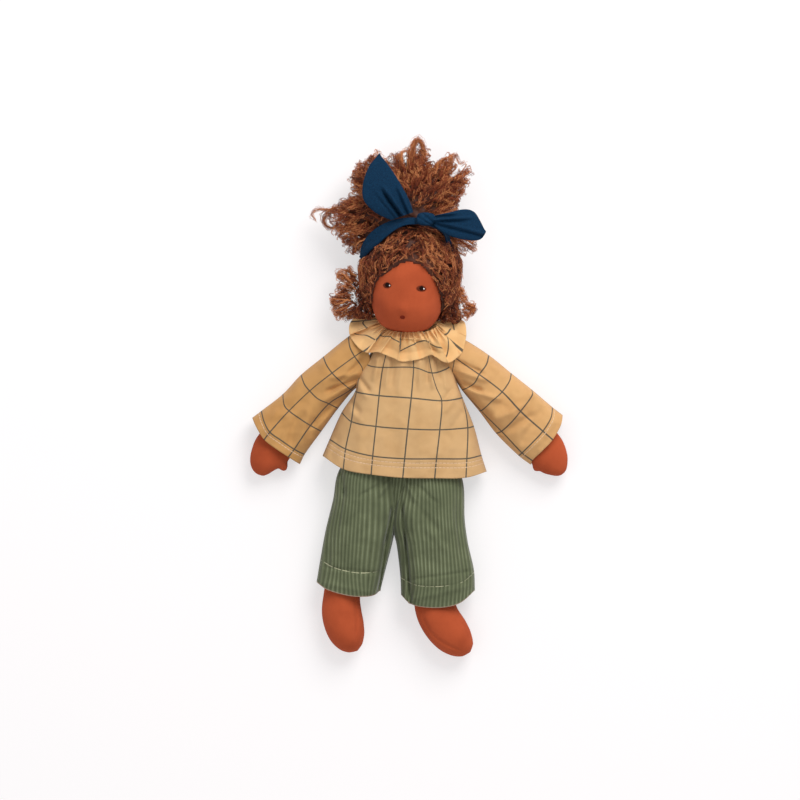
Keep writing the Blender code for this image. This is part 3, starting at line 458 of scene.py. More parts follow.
@dataclass(frozen=True)
class Corduroy:
    """Cotton corduroy, whose ribs run along the leg."""

    name: str = "corduroy"
    rib: float = 2.5
    colour: str = "#646B4E"
    shade: str = "#4C523D"
    pale: str = "#92997B"
    stitches: str = "#C9C7A2"
    edge: str = "#C9A893"
    hem: float = 17.6
    stitch: float = 6.1

    def material(self) -> bpy.types.Material:
        """Ribs of pile whose dark valleys are painted shade, with pale crests that are partly painted sheen
        and partly real wear, rubbed paler in patches, and the hem's stitching.
        """
        graph = Graph(self.name)
        across, along = graph.cloth()
        pile = graph.grain(graph.on_cloth(), 1, 3, (500, 260, 1))
        rubbed = graph.grain(graph.place(), 55, 4)
        ribs = (across * (math.pi / self.rib)).wave().size() ** 0.8
        # Painted shade: the valleys between the ribs are mixed darker than the crests.
        share = ribs.fade(0.0, 0.9) * 0.5 + pile * 0.35 + rubbed.fade(0.35, 0.7) * 0.25
        base = graph.tint(share, paint(self.shade), paint(self.colour))
        # Painted sheen and real wear: every crest is a little paler, and more where the pile is rubbed in
        # patches.
        wear_and_crest_sheen = (0.3 + rubbed.fade(0.4, 0.75) * 0.6) * ribs.fade(0.8, 1.0) * (0.3 + pile * 0.6)
        colour = graph.tint(wear_and_crest_sheen.within(0.8), base, paint(self.pale))
        beside = (along - self.hem).size()
        run = across.to_line(self.stitch).fade(2.7, 2.3)
        sewn = beside.fade(0.34, 0.16) * run * rubbed.fade(0.38, 0.5)
        colour = graph.tint(sewn * 0.9, colour, paint(self.stitches))
        colour = graph.tint(along.fade(0.9, 0.3) * 0.7, colour, paint(self.edge))
        height = ribs + pile * 0.25 - beside.fade(1.4, 0.2) * 0.6 + sewn * 0.7
        nap = {"Sheen_Weight": 0.3, "Sheen_Roughness": 0.35, "Specular_IOR_Level": 0.1}
        return graph.finish(colour, 0.92, height, 0.32 * MM, **nap)


@dataclass(frozen=True)
class Thread:
    """Twisted thread."""

    name: str
    colour: str
    pale: str

    def material(self) -> bpy.types.Material:
        """Fine strands that catch a little light."""
        graph = Graph(self.name)
        strands = graph.grain(graph.place(), 1500, stretch=(3, 1, 1))
        colour = graph.tint(strands.fade(0.4, 0.7), paint(self.colour), paint(self.pale))
        return graph.finish(colour, 0.85, strands, 0.05 * MM, Specular_IOR_Level=0.15)


# Forms


class Profile:
    """Values that run smoothly through given stations."""

    def __init__(self, stations: Stations) -> None:
        """Keeps the stations.

        Args:
            stations: Rows of a place and the values there, in order.
        """
        self.places = [row[0] for row in stations]
        self.values = [row[1:] for row in stations]

    def at(self, place: float) -> list[float]:
        """The values at a place.

        Args:
            place: Where, within the stations.

        Returns:
            One number for each column of the stations.
        """
        place = min(max(place, self.places[0]), self.places[-1])
        index = max(i for i in range(len(self.places) - 1) if self.places[i] <= place)
        start, end = self.places[index], self.places[index + 1]
        share = (place - start) / (end - start)
        square, cube = share**2, share**3
        values = []
        for column in range(len(self.values[0])):
            low, high = self.values[index][column], self.values[index + 1][column]
            in_slope = self._slope(index, column) * (end - start)
            out_slope = self._slope(index + 1, column) * (end - start)
            values.append(
                low * (2 * cube - 3 * square + 1)
                + in_slope * (cube - 2 * square + share)
                + high * (3 * square - 2 * cube)
                + out_slope * (cube - square)
            )
        return values

    def _slope(self, index: int, column: int) -> float:
        """The slope at a station, taken across its neighbours."""
        before, after = max(index - 1, 0), min(index + 1, len(self.places) - 1)
        climb = self.values[after][column] - self.values[before][column]
        return climb / (self.places[after] - self.places[before])


@dataclass(frozen=True)
class Net:
    """Cloth pinned down where the lines of its check cross.

    Each row holds its place along the cloth and, for a few places across the cloth, where that point lies.
    """

    rows: tuple[tuple[float, Stations], ...]

    @cached_property
    def _columns(self) -> dict[float, Profile]:
        """The profiles along the cloth that were asked for so far."""
        return {}

    def at(self, share: float, run: float) -> list[float]:
        """A point of the cloth.

        Args:
            share: From 0 at one edge of the cloth to 1 at the other.
            run: From 0 at the first row to 1 at the last.

        Returns:
            Its places across and along the cloth, and then what the rows hold.
        """
        if share not in self._columns:
            stations = []
            for along, row in self.rows:
                across = row[0][0] + (row[-1][0] - row[0][0]) * share
                stations.append((along, across, *Profile(row).at(across)))
            self._columns[share] = Profile(stations)
        along = self.rows[0][0] + (self.rows[-1][0] - self.rows[0][0]) * run
        across, *values = self._columns[share].at(along)
        return [across, along, *values]


@dataclass(frozen=True)
class Fold:
    """A soft ridge of cloth, or with a negative height a valley, from one place in plan to another."""

    start_x: float
    start_y: float
    end_x: float
    end_y: float
    width: float
    height: float

    def at(self, x: float, y: float) -> float:
        """How far the cloth is lifted.

        Args:
            x: Across, in millimetres.
            y: Along, in millimetres.

        Returns:
            The lift, in millimetres.
        """
        run_x, run_y = self.end_x - self.start_x, self.end_y - self.start_y
        off_x, off_y = x - self.start_x, y - self.start_y
        length = math.hypot(run_x, run_y)
        along = (off_x * run_x + off_y * run_y) / length
        aside = (off_x * run_y - off_y * run_x) / length
        soft = 0.3 * length
        fade = ease(along / soft + 0.5) * ease((length - along) / soft + 0.5)
        return self.height * fade * math.exp(-((aside / self.width) ** 2))


class Under:
    """What a cloth lies on: the top of some finished pieces."""

    def __init__(self, *made: bpy.types.Object) -> None:
        """Reads the pieces.

        Args:
            made: The pieces, all at the origin.
        """
        self.trees = [
            BVHTree.FromPolygons([v.co for v in one.data.vertices], [p.vertices for p in one.data.polygons])
            for one in made
        ]

    def top(self, x: float, y: float) -> float:
        """The height of the top over a place in plan, or 0 beside the pieces. All in millimetres."""
        hits = [tree.ray_cast(Vector((x * MM, y * MM, 1)), Vector((0, 0, -1)))[0] for tree in self.trees]
        return max([hit.z / MM for hit in hits if hit] + [0.0])


@dataclass(frozen=True)
class Garment:
    """A tube of cloth laid flat: its net in plan above, and a plainer side below.

    The rise holds, along the cloth: the height of its side edges, the reach above them, the reach below
    and the squareness. Each fold is a row of what a Fold takes.
    """

    net: Net
    rise: Stations
    folds: Stations = ()
    under: Under | None = None
    upper: float = 0.64
    seed: float = 0.0
    rough: float = 0.6
    clear: float = 0.9
    crease: float = 13.0
    ruck: float = 5.0
    deep: float = 0.52
    steep: float = 0.4
    steep_run: float = 1.3

    @cached_property
    def _rise(self) -> Profile:
        """The rise as a profile."""
        return Profile(self.rise)

    @cached_property
    def _folds(self) -> list[Fold]:
        """The folds."""
        return [Fold(*row) for row in self.folds]

    def uneven(self, x: float, y: float) -> float:
        """The cloth's own small creases, in millimetres."""
        broad, fine = (ripple(x / size, y / size, 0, self.seed) for size in (self.crease, self.ruck))
        return self.rough * broad + 0.4 * self.rough * fine

    def place(self, around: float, run: float) -> tuple[Vector, tuple[float, float]]:
        """A point of the garment.

        Args:
            around: From 0 at one side edge, over the upper side and back below, to 1.
            run: From 0 to 1 along it.

        Returns:
            The point and its place on the cloth, in millimetres.
        """
        over = around <= self.upper
        part = around / self.upper if over else (1 - around) / (1 - self.upper)
        share = 0.5 - 0.5 * math.cos(math.pi * part)
        across, along, x, y = self.net.at(share, run)
        level, up, down, square = self._rise.at(run)
        full = max(1 - abs(2 * share - 1) ** square, 0.0) ** (1 / square)
        edge = math.copysign(self.steep_run * max(self.steep - full, 0), share - 0.5)
        if not over:
            far = 2 * self.net.at(1, run)[0] + self.deep * (up + down)
            return Vector((x, y, max(level - down * full, 0.35))), (far - across - edge * down, along)
        lift = sum(fold.at(x, y) for fold in self._folds) + self.uneven(x, y)
        z = level + up * full + lift * min(3 * full, 1.0)
        if self.under:
            z = max(z, self.under.top(x, y) + self.clear * min(2 * full, 1))
        return Vector((x, y, max(z, LOWEST))), (across + edge * up, along)


@dataclass(frozen=True)
class Stuffed:
    """A stuffed form: sections along its length, each with a centre and its reach to every side.

    The stations hold: place, centre X, Y and Z, half-width, reach up, and the reach down where it differs.
    """

    stations: Stations
    level_across: bool = False

    @cached_property
    def _profile(self) -> Profile:
        """The stations as a profile."""
        return Profile([row if len(row) == 7 else (*row, row[-1]) for row in self.stations])

    def place(self, around: float, run: float) -> tuple[Vector, tuple[float, float]]:
        """A point of the form.

        Args:
            around: From 0 underneath, round, to 1.
            run: From 0 to 1 along the form.

        Returns:
            The point and its place on the skin, in millimetres.
        """
        x, y, z, wide, up, down = self._profile.at(run)
        across = Vector((1, 0, 0))
        if not self.level_across:
            ahead, behind = self._profile.at(min(run + 0.02, 1)), self._profile.at(max(run - 0.02, 0))
            across = Vector((behind[1] - ahead[1], ahead[0] - behind[0], 0)).normalized()
        turn = math.tau * around - math.pi / 2
        point = Vector((x, y, z)) + across * (max(wide, 0.1) * math.cos(turn))
        point.z += max(up if math.sin(turn) > 0 else down, 0.1) * math.sin(turn)
        point.z = max(point.z, LOWEST)
        return point, (60 * around, 120 * run)


def ripple(x: float, y: float, z: float, seed: float = 0.0) -> float:
    """Smooth noise from -1 to 1 for small unevenness."""
    return noise.noise(Vector((x + seed, y - seed, z + 2 * seed)))


def ridge(value: float, centre: float, width: float) -> float:
    """A single soft fold: 1 at its centre, fading out over its width."""
    return math.exp(-(((value - centre) / width) ** 2))


def ease(value: float) -> float:
    """A share that starts and ends gently."""
    value = min(max(value, 0.0), 1.0)
    return value * value * (3 - 2 * value)


def surface(name: str, columns: int, rows: int, place: Place, closed: bool = True) -> bpy.types.Object:
    """Bends a gridded rectangle of cloth or skin into its place, with its own coordinates on it.

    Args:
        name: The piece's name.
        columns: Faces across.
        rows: Faces along.
        place: Where a point lies, and its place on the cloth, from its shares across and along.
        closed: Whether the piece closes on itself, so that its faces can be turned outwards.

    Returns:
        The piece, unlinked from any body.
    """
    mesh = bmesh.new()
    layer = mesh.loops.layers.uv.new(CLOTH_MAP)
    bmesh.ops.create_grid(mesh, x_segments=columns, y_segments=rows, size=0.5, calc_uvs=False)
    cloth = {}
    for vert in mesh.verts:
        point, cloth[vert] = place(round(vert.co.x + 0.5, 6), round(vert.co.y + 0.5, 6))
        vert.co = point * MM
    for face in mesh.faces:
        for loop in face.loops:
            across, along = cloth[loop.vert]
            loop[layer].uv = (across / CLOTH_UNIT, along / CLOTH_UNIT)
    bmesh.ops.remove_doubles(mesh, verts=mesh.verts, dist=0.002 * MM)
    if closed:
        bmesh.ops.recalc_face_normals(mesh, faces=mesh.faces)
    elif sum(face.normal.z * face.calc_area() for face in mesh.faces) < 0:
        bmesh.ops.reverse_faces(mesh, faces=mesh.faces)
    return piece(name, mesh)


def piece(name: str, mesh: bmesh.types.BMesh) -> bpy.types.Object:
    """Makes an object of a finished mesh.

    Args:
        name: The piece's name.
        mesh: Its mesh, in metres, which is freed.

    Returns:
        The smooth-shaded object at the origin.
    """
    data = bpy.data.meshes.new(name)
    mesh.to_mesh(data)
    mesh.free()
    data.shade_smooth()
    made = bpy.data.objects.new(name, data)
    bpy.context.collection.objects.link(made)
    return made


def apply_modifiers(made: bpy.types.Object) -> bpy.types.Object:
    """Puts an object's modifiers into its mesh.

    Args:
        made: The object.

    Returns:
        The same object.
    """
    graph = bpy.context.evaluated_depsgraph_get()
    finished = bpy.data.meshes.new_from_object(made.evaluated_get(graph))
    made.modifiers.clear()
    made.data = finished
    return made


def thicken(made: bpy.types.Object, cloth: float) -> bpy.types.Object:
    """Gives a sheet its thickness, inwards.

    Args:
        made: The sheet.
        cloth: Its thickness, in millimetres.

    Returns:
        The same object.
    """
    solid = made.modifiers.new("cloth", "SOLIDIFY")
    solid.thickness = cloth * MM
    solid.offset = -1.0
    return apply_modifiers(made)


def dress(made: bpy.types.Object, look: bpy.types.Material) -> bpy.types.Object:
    """Gives a piece its material and logs the piece."""
    made.data.materials.clear()
    made.data.materials.append(look)
    LOG.info("%s: %d faces", made.name, len(made.data.polygons))
    return made


def fit(
    made: bpy.types.Object, look: bpy.types.Material, slot: str, body: str, *nodes: str
) -> bpy.types.Object:
    """Dresses a piece, hangs it on a body and shows it in place of some nodes.

    Args:
        made: The piece.
        look: Its material.
        slot: The record's slot for it; not used.
        body: The body that carries it.
        nodes: The nodes that it stands for.

    Returns:
        The piece.
    """
    dress(made, look)
    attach(made, body)
    if nodes:
        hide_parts(*nodes)
    return made


# The head


@dataclass
class Head:
    """The tied ball of the head: jersey over wool, with embroidered eyes and mouth."""

    skin: bpy.types.Material
    centre_x: float = -3.7
    chin_y: float = 61.5
    height: float = 66.0
    level: float = 32.5
    half_width: float = 26.5
    half_depth: float = 26.5
    neck_radius: float = 10.5
    neck_length: float = 11.0
    neck_level: float = 24.0
    neck_share: float = 0.12
    eyes: tuple[tuple[float, float], ...] = ((-18.3, 93.1), (5.7, 92.4))
    mouth: tuple[float, float] = (-6.1, 71.6)
    nose: tuple[float, float] = (-6.5, 77.0)
    cheeks: tuple[tuple[float, float], ...] = ((-17.5, 77.0), (6.5, 77.0))
    face: Under | None = None

    @property
    def features(self) -> Stations:
        """The bumps and dents of the face: X, Y, reach across, reach along, height."""
        return (
            (*self.nose, 3.6, 3.8, 1.3),
            *((*cheek, 8, 8, 0.9) for cheek in self.cheeks),
            *((*eye, 4.5, 3.5, -0.8) for eye in self.eyes),
            (*self.mouth, 2.6, 2, -0.6),
        )

    def place(self, around: float, run: float) -> tuple[Vector, tuple[float, float]]:
        """A point of the head's surface.

        Args:
            around: From 0 to 1 round the head.
            run: From 0 at the neck to 1 at the crown.

        Returns:
            The point and its place on the skin, in millimetres.
        """
        turn = math.tau * around - math.pi / 2
        cloth = (150 * around, 120 * run)
        beyond = run - self.neck_share
        if beyond < 0:
            y = self.chin_y + self.neck_length * beyond / self.neck_share
            x = self.centre_x + self.neck_radius * math.cos(turn)
            return Vector((x, y, self.neck_level + self.neck_radius * math.sin(turn))), cloth
        latitude = math.pi * (0.1 + 0.9 * beyond / (1 - self.neck_share))
        fullness = math.sin(latitude) ** (0.62 if latitude < math.pi / 2 else 0.95)
        y = self.chin_y + self.height / 2 * (1 - math.cos(latitude))
        x = self.centre_x + self.half_width * fullness * math.cos(turn)
        z = self.level + self.half_depth * fullness * math.sin(turn)
        if math.sin(turn) > 0:
            for spot_x, spot_y, wide, tall, high in self.features:
                z += high * math.exp(-(((x - spot_x) / wide) ** 2 + ((y - spot_y) / tall) ** 2))
        return Vector((x, y, z)), cloth

    def stitches(
        self, name: str, centre: Vector, half: tuple[float, float], lift: float, count: int
    ) -> bpy.types.Object:
        """A small patch of satin stitches that follows the face.

        Args:
            name: The piece's name.
            centre: The patch's middle in plan.
            half: Half its width and half its height.
            lift: How far it stands on the face.
            count: How many stitches lie side by side.

        Returns:
            The piece.
        """
        mesh = bmesh.new()
        for index in range(count):
            share = (index + 0.5) / count * 2 - 1
            tall = half[1] * math.sqrt(max(1 - share**2, 0.06))
            made = bmesh.ops.create_uvsphere(mesh, u_segments=8, v_segments=8, radius=1)["verts"]
            for vert in made:
                x = centre.x + share * half[0] + vert.co.x * half[0] / count * 1.3
                y = centre.y + vert.co.y * tall
                vert.co = Vector((x, y, self.face.top(x, y) + lift + 0.4 * vert.co.z)) * MM
        return piece(name, mesh)

    def build(self) -> None:
        """Builds the skin, the eyes and the mouth."""
        skin = surface("head", 128, 110, self.place)
        self.face = Under(skin)
        fit(skin, self.skin, "jersey", "head", "head_skin", "head_wool", "neck_tie")
        iris = Thread("iris_thread", "#5A2312", "#7A3520").material()
        dark = Thread("pupil_thread", "#160805", "#2E120A").material()
        white = Thread("eye_light_thread", "#F2ECE6", "#FFFFFF").material()
        lips = Thread("mouth_thread", "#6E2010", "#8A3018").material()
        for side, half_width, (x, y) in zip(("right", "left"), (2.7, 3.4), self.eyes):
            eye = self.stitches(f"{side}_eye", Vector((x, y, 0)), (half_width, 2.4), 0.1, 11)
            fit(eye, iris, "eye_thread", "head", f"{side}_eye")
            pupil = self.stitches(f"{side}_pupil", Vector((x + 0.1, y + 0.2, 0)), (1.55, 1.95), 0.35, 7)
            fit(pupil, dark, "eye_thread", "head")
            light = self.stitches(f"{side}_eye_light", Vector((x + 1.7, y, 0)), (0.42, 0.55), 0.6, 3)
            fit(light, white, "elastic", "head")
        mouth = self.stitches("mouth_stitches", Vector((*self.mouth, 0)), (1.7, 1.45), 0.15, 6)
        fit(mouth, lips, "mouth_thread", "head", "mouth")


# The headband


@dataclass
class Headband:
    """The linen strip round the head, its knot and its two ears."""

    linen: bpy.types.Material
    centre: Vector = field(default_factory=lambda: Vector((-2, 108, 27)))
    span: float = 35.8
    run: float = 31.5
    climb: float = 24.0
    knot: Vector = field(default_factory=lambda: Vector((5.2, 141.0, 54)))
    halves: Stations = (
        (0, 2.5), (45, 3.6), (78, 3), (90, 3.2), (102, 3.6), (114, 4.9), (128, 6), (142, 6.2), (156, 5.2),
        (168, 3.4), (177, 1.3), (190, 2), (220, 4.5), (320, 4.5), (360, 2.5),
    )
    course: Stations = (
        (-39, 110, 1), (-36, 115.5, 4.8), (-30, 124, 5.2), (-23, 129.8, 5.2), (-14, 135.3, 3.6),
        (-8, 137.6, 2.8), (-1, 138.6, 2.8), (11, 138.5, 3), (17, 134.5, 3.2), (24.5, 129.7, 3.2),
        (28.5, 123, 3),
    )

    @property
    def tall(self) -> float:
        """Half the strip's loop from the nape to the knot."""
        return math.hypot(self.run, self.climb)

    @property
    def up(self) -> Vector:
        """The direction of the loop's height, from the nape to the knot."""
        return Vector((0, self.run, self.climb)) / self.tall

    @property
    def out(self) -> Vector:
        """The direction of the strip's width, towards the face."""
        return Vector((0, -self.climb, self.run)) / self.tall

    def hides(self, point: Vector, margin: float) -> bool:
        """Whether hair at this place would come through the strip where it shows.

        Args:
            point: The place, in millimetres.
            margin: The distance to keep from the strip's middle line.

        Returns:
            True near the strip.
        """
        shows = (111 if point.x < 0 else 121) < point.y < 143
        away = point - self.centre
        outside = (away.x / self.span) ** 2 + (away.dot(self.up) / self.tall) ** 2 > 0.9
        middle, half = Profile(self.course).at(point.x)
        covers = point.z > 30 and -39 < point.x < 29 and abs(point.y - middle) < half + 0.4
        return covers or (shows and outside and abs(away.dot(self.out)) < margin)

    def strip(self, around: float, run: float) -> tuple[Vector, tuple[float, float]]:
        """A point of the strip, creased lengthwise and drawn together at the knot."""
        turn = math.tau * run + math.pi / 2
        bearing = math.degrees(turn) % 360
        half = Profile(self.halves).at(bearing)[0]
        beside = math.cos(turn)
        drop = 7 * ease((beside - 0.5) / 0.35) if beside > 0 else 4.5 * ease((-beside - 0.985) / 0.014)
        front = ridge(bearing, 140, 32)
        out = self.out.lerp(Vector((0.4, -0.78, 0.5)), front).normalized()
        across = (around - 0.5) * 2
        crease = 0.55 * math.sin(5 * across + 2.5 * math.sin(2 * turn) + 1.2 * ripple(0, 7 * run, 0, 3))
        crown = 1.8 * (1 - across**2) + crease + 0.5 * ripple(3 * across, 12 * run, 2, 5)
        point = self.centre + Vector((1, 0, 0)) * ((self.span + crown - drop) * math.cos(turn))
        point += self.up * ((self.tall + crown) * math.sin(turn)) + out * (half * across)
        point.y -= 2.7 * front
        point.z = max(point.z, 1.2)
        return point, (10 * around, 230 * run)

    def leaf(
        self, base: Vector, axis: Vector, outline: Stations, creases: Stations, rise: Stations
    ) -> Place:
        """One ear of the bow: a doubled strip end that opens from the knot.

        Args:
            base: Where it leaves the knot.
            axis: Its direction in plan.
            outline: Rows of a distance from the knot and the two edges beside the axis there.
            creases: Folds from the knot: beside the axis at the start and at the end, the reach, the depth.
            rise: Rows of a distance from the knot, the height of the middle and half the thickness.

        Returns:
            The ear's place function.
        """
        edges, heights = Profile(outline), Profile(rise)
        aside = Vector((-axis.y, axis.x, 0)) * (-1 if axis.y > 0.5 else 1)

        def place(around: float, run: float) -> tuple[Vector, tuple[float, float]]:
            far = outline[-1][0] * run
            low, high = edges.at(far)
            level, thick = heights.at(far)
            turn = math.tau * around
            across = low + (high - low) * (0.5 - 0.5 * math.cos(turn))
            over = math.copysign(abs(math.sin(turn)) ** 0.6, math.sin(turn))
            lift = 0.0
            for start, end, reach, depth in creases:
                line = start + (end - start) * far / reach
                fade = 1 - ease((far / reach - 0.55) / 0.45)
                lift -= depth * fade * (ridge(across, line, 1.0) - 0.7 * ridge(across, line + 1.9, 1.3))
            point = base + axis * far + aside * across
            ruck = 0.7 * ripple(point.x / 10, point.y / 10, 0, 4)
            ruck += 0.2 * ripple(point.x / 3, point.y / 3, 1, 9)
            point.z = level + thick * over + (lift if over > 0 else 0.3 * lift) + ruck
            return point, (far, across + (40 if over < 0 else 0))

        return place

    def knotted(self, around: float, run: float) -> tuple[Vector, tuple[float, float]]:
        """A point of the knot: a flat roll of cloth, creased where it is pulled tight."""
        turn, latitude = math.tau * around, math.pi * run
        full = math.sin(latitude) ** 0.5
        x = 6.4 * -math.cos(latitude)
        wide = math.copysign(abs(math.cos(turn)) ** 0.7, math.cos(turn))
        y = 4.7 * full * wide + 0.12 * x
        z = 3.4 * full * math.copysign(abs(math.sin(turn)) ** 0.8, math.sin(turn))
        if z > 0:
            z -= 0.9 * ridge(y + 0.55 * x, 1.6, 0.8) + 0.7 * ridge(y + 0.35 * x, -1.8, 0.7)
            z += 0.4 * ripple(x / 2, y / 2, 0, 3)
        lean = Matrix.Rotation(math.radians(-8), 3, "Z")
        return self.knot + lean @ Vector((x, y, z)), (20 * around, 13 * run)

    def build(self) -> None:
        """Builds the band, the knot and the ears."""
        upper = self.leaf(
            Vector((-11, 142, 0)), Vector((-0.4, 0.917, 0)),
            ((0, -8.5, 8), (5, -14, 8.2), (10, -18, 8), (20, -21.8, 6.5), (31, -18, 4.2),
             (40, -10.8, 1.6), (45, -3.5, -0.2), (46.6, -0.4, 0.1)),
            ((-1, -8.5, 26, 5.5), (3.5, 1.5, 24, 1.6), (-5.5, -15, 26, 1.0)),
            ((0, 52.5, 1.2), (10, 54.5, 2.4), (25, 55.5, 2.6), (40, 53, 1.6), (46.6, 51, 0.4)),
        )
        lower = self.leaf(
            Vector((10.5, 140.5, 0)), Vector((0.99, -0.142, 0)),
            ((0, -2.6, 3.2), (9, -7.2, 7.4), (20, -8.8, 12.2), (27, -8.4, 11.6),
             (32.5, -7.4, 6.2), (36, -4.9, 1.8), (37.6, -0.9, 0.4)),
            ((-1.4, 6.5, 30, 2.4), (2, 7.5, 18, 1.6), (-2.2, -4.6, 60, 2.0)),
            ((0, 54, 1.6), (9, 55, 2.8), (20, 54.5, 3.2), (32, 52.5, 2.2), (37.6, 51, 0.5)),
        )
        pieces = {
            "headband": thicken(surface("headband_strip", 22, 220, self.strip, closed=False), 0.7),
            "bow_knot": surface("knot", 72, 48, self.knotted),
            "bow_ear_right": surface("upper_ear", 90, 70, upper),
            "bow_ear_left": surface("lower_ear", 90, 60, lower),
        }
        for node, made in pieces.items():
            fit(made, self.linen, "linen", "head", node)


# The hair


@dataclass(frozen=True)
class Lock:
    """A lock of mohair: strands that wind round one guide line and thin out together. Millimetres."""

    guide: tuple[Vector, ...]
    coil: float
    turns: float
    strand: float
    start: float
    tone: float

    def strands(self, count: int, steps: int) -> list[list[tuple[Vector, float]]]:
        """The strands' points, each with its radius.

        Args:
            count: How many strands.
            steps: How many pieces each has.

        Returns:
            One list of points for each strand.
        """
        last = len(self.guide) - 1
        line = Profile([(index / last, *spot) for index, spot in enumerate(self.guide)])
        made: list[list[tuple[Vector, float]]] = [[] for _ in range(count)]
        for step in range(steps + 1):
            share = step / steps
            middle = Vector(line.at(share))
            ahead = Vector(line.at(min(share + 0.06, 1))) - Vector(line.at(max(share - 0.06, 0)))
            side = ahead.cross(Vector((0.1, 0.2, 1))).normalized()
            other = side.cross(ahead).normalized()
            coil = self.coil * (0.5 + 0.5 * math.sin(math.pi * share)) * (1.15 - 0.65 * share)
            for index, points in enumerate(made):
                turn = self.start + math.tau * (self.turns * share + index / count)
                wide = coil * (0.75 + 0.55 * ripple(3.1 * index, 5 * share, self.start, 2))
                spot = middle + side * (wide * math.cos(turn)) + other * (wide * math.sin(turn))
                points.append((spot, self.strand * (1.15 - 0.75 * share)))
        return made


TUFTS = (
    (33, 178), (29, 173), (21.7, 187.6), (24, 180), (14.7, 183.2), (8.6, 178), (-7.5, 189.5), (-3.5, 183),
    (-15.2, 187), (-19, 185.8), (-36.6, 183.5), (-33, 186), (-42.2, 179.2), (-46, 176), (-48.5, 170.9),
    (-49.1, 165.9), (-48, 160), (-50.1, 152.1), (-53.9, 148.8), (-56, 145), (-57.4, 128.9),
    (-53.1, 124.3), (-50.7, 118.5), (-44.5, 114), (31, 163), (33, 170), (42.2, 127), (40.6, 122),
    (34.9, 119.6), (26.6, 124.9),
)
CHEEK_TUFTS = {
    Side.RIGHT: (
        (-53.4, 99.6), (-47.7, 103), (-51, 96.5), (-52.7, 89.8), (-48, 92),
        (-57.5, 80.6), (-53.5, 83.5), (-56.3, 78.7),
        (-54, 73), (-53.3, 70.1), (-49.2, 67.9), (-46, 70), (-43.5, 69.8), (-50, 87), (-45, 97), (-40, 71),
    ),
    Side.LEFT: ((34.5, 95), (38, 88.3), (43.3, 83.3), (44.5, 78.9),
                (40.5, 76.2), (36, 74.8), (29.5, 72.4), (34, 91)),
}
LOOPS = (
    ((-8, 170, 33), (-9, 184, 34), (-7.5, 193, 33), (-3.4, 197.3, 32), (0.8, 192, 32), (0.5, 184, 32),
     (-3, 176, 31)),
    ((-5, 170, 30), (-8, 182, 31), (-7.8, 191, 31), (-4, 196.5, 31), (-0.2, 191, 31), (-1.6, 184, 31),
     (-5, 180, 30)),
    ((-9, 172, 31), (-6.6, 186, 32), (-6.2, 194, 32), (-2.4, 196, 31), (1.2, 189, 31), (0.4, 180, 30)),
    ((-6, 172, 29), (-7.4, 188, 30), (-4.4, 195.4, 30), (-0.8, 194.4, 30), (-1.4, 186, 30),
     (-3.5, 181, 30)),
    ((-48, 140, 22), (-56, 146, 23), (-66.5, 139.5, 22), (-64, 131.5, 21), (-56.5, 131, 20),
     (-50, 134, 20)),
    ((-50, 137, 20), (-57, 144.5, 21), (-65.8, 137, 20), (-62, 130.8, 19), (-54.5, 131.5, 19)),
    ((-58, 144, 22), (-63.3, 143.3, 22), (-69, 143.5, 21), (-74.4, 140, 20), (-72, 134.8, 19)),
    ((-14, 176, 34), (-15.5, 185, 35), (-10.5, 188, 34), (-7.5, 180, 33), (-9, 172, 32)),
    ((8, 172, 32), (12, 181, 33), (15.8, 184, 32), (16.5, 178, 31)),
    ((17, 172, 31), (20, 184, 32), (22.5, 188.4, 31), (26, 182, 30), (30, 183, 29)),
    ((-40, 96, 20), (-46, 101.5, 21), (-53, 101, 20), (-53.5, 97, 19), (-46, 96.5, 19)),
    ((-40, 79, 20), (-48, 82.5, 20), (-55, 80.5, 19), (-54, 76.5, 18), (-46, 77, 18)),
    ((31, 86, 24), (38, 85.5, 25), (43.8, 81.5, 24), (40.5, 76.2, 23), (36.4, 78.8, 22)),
)


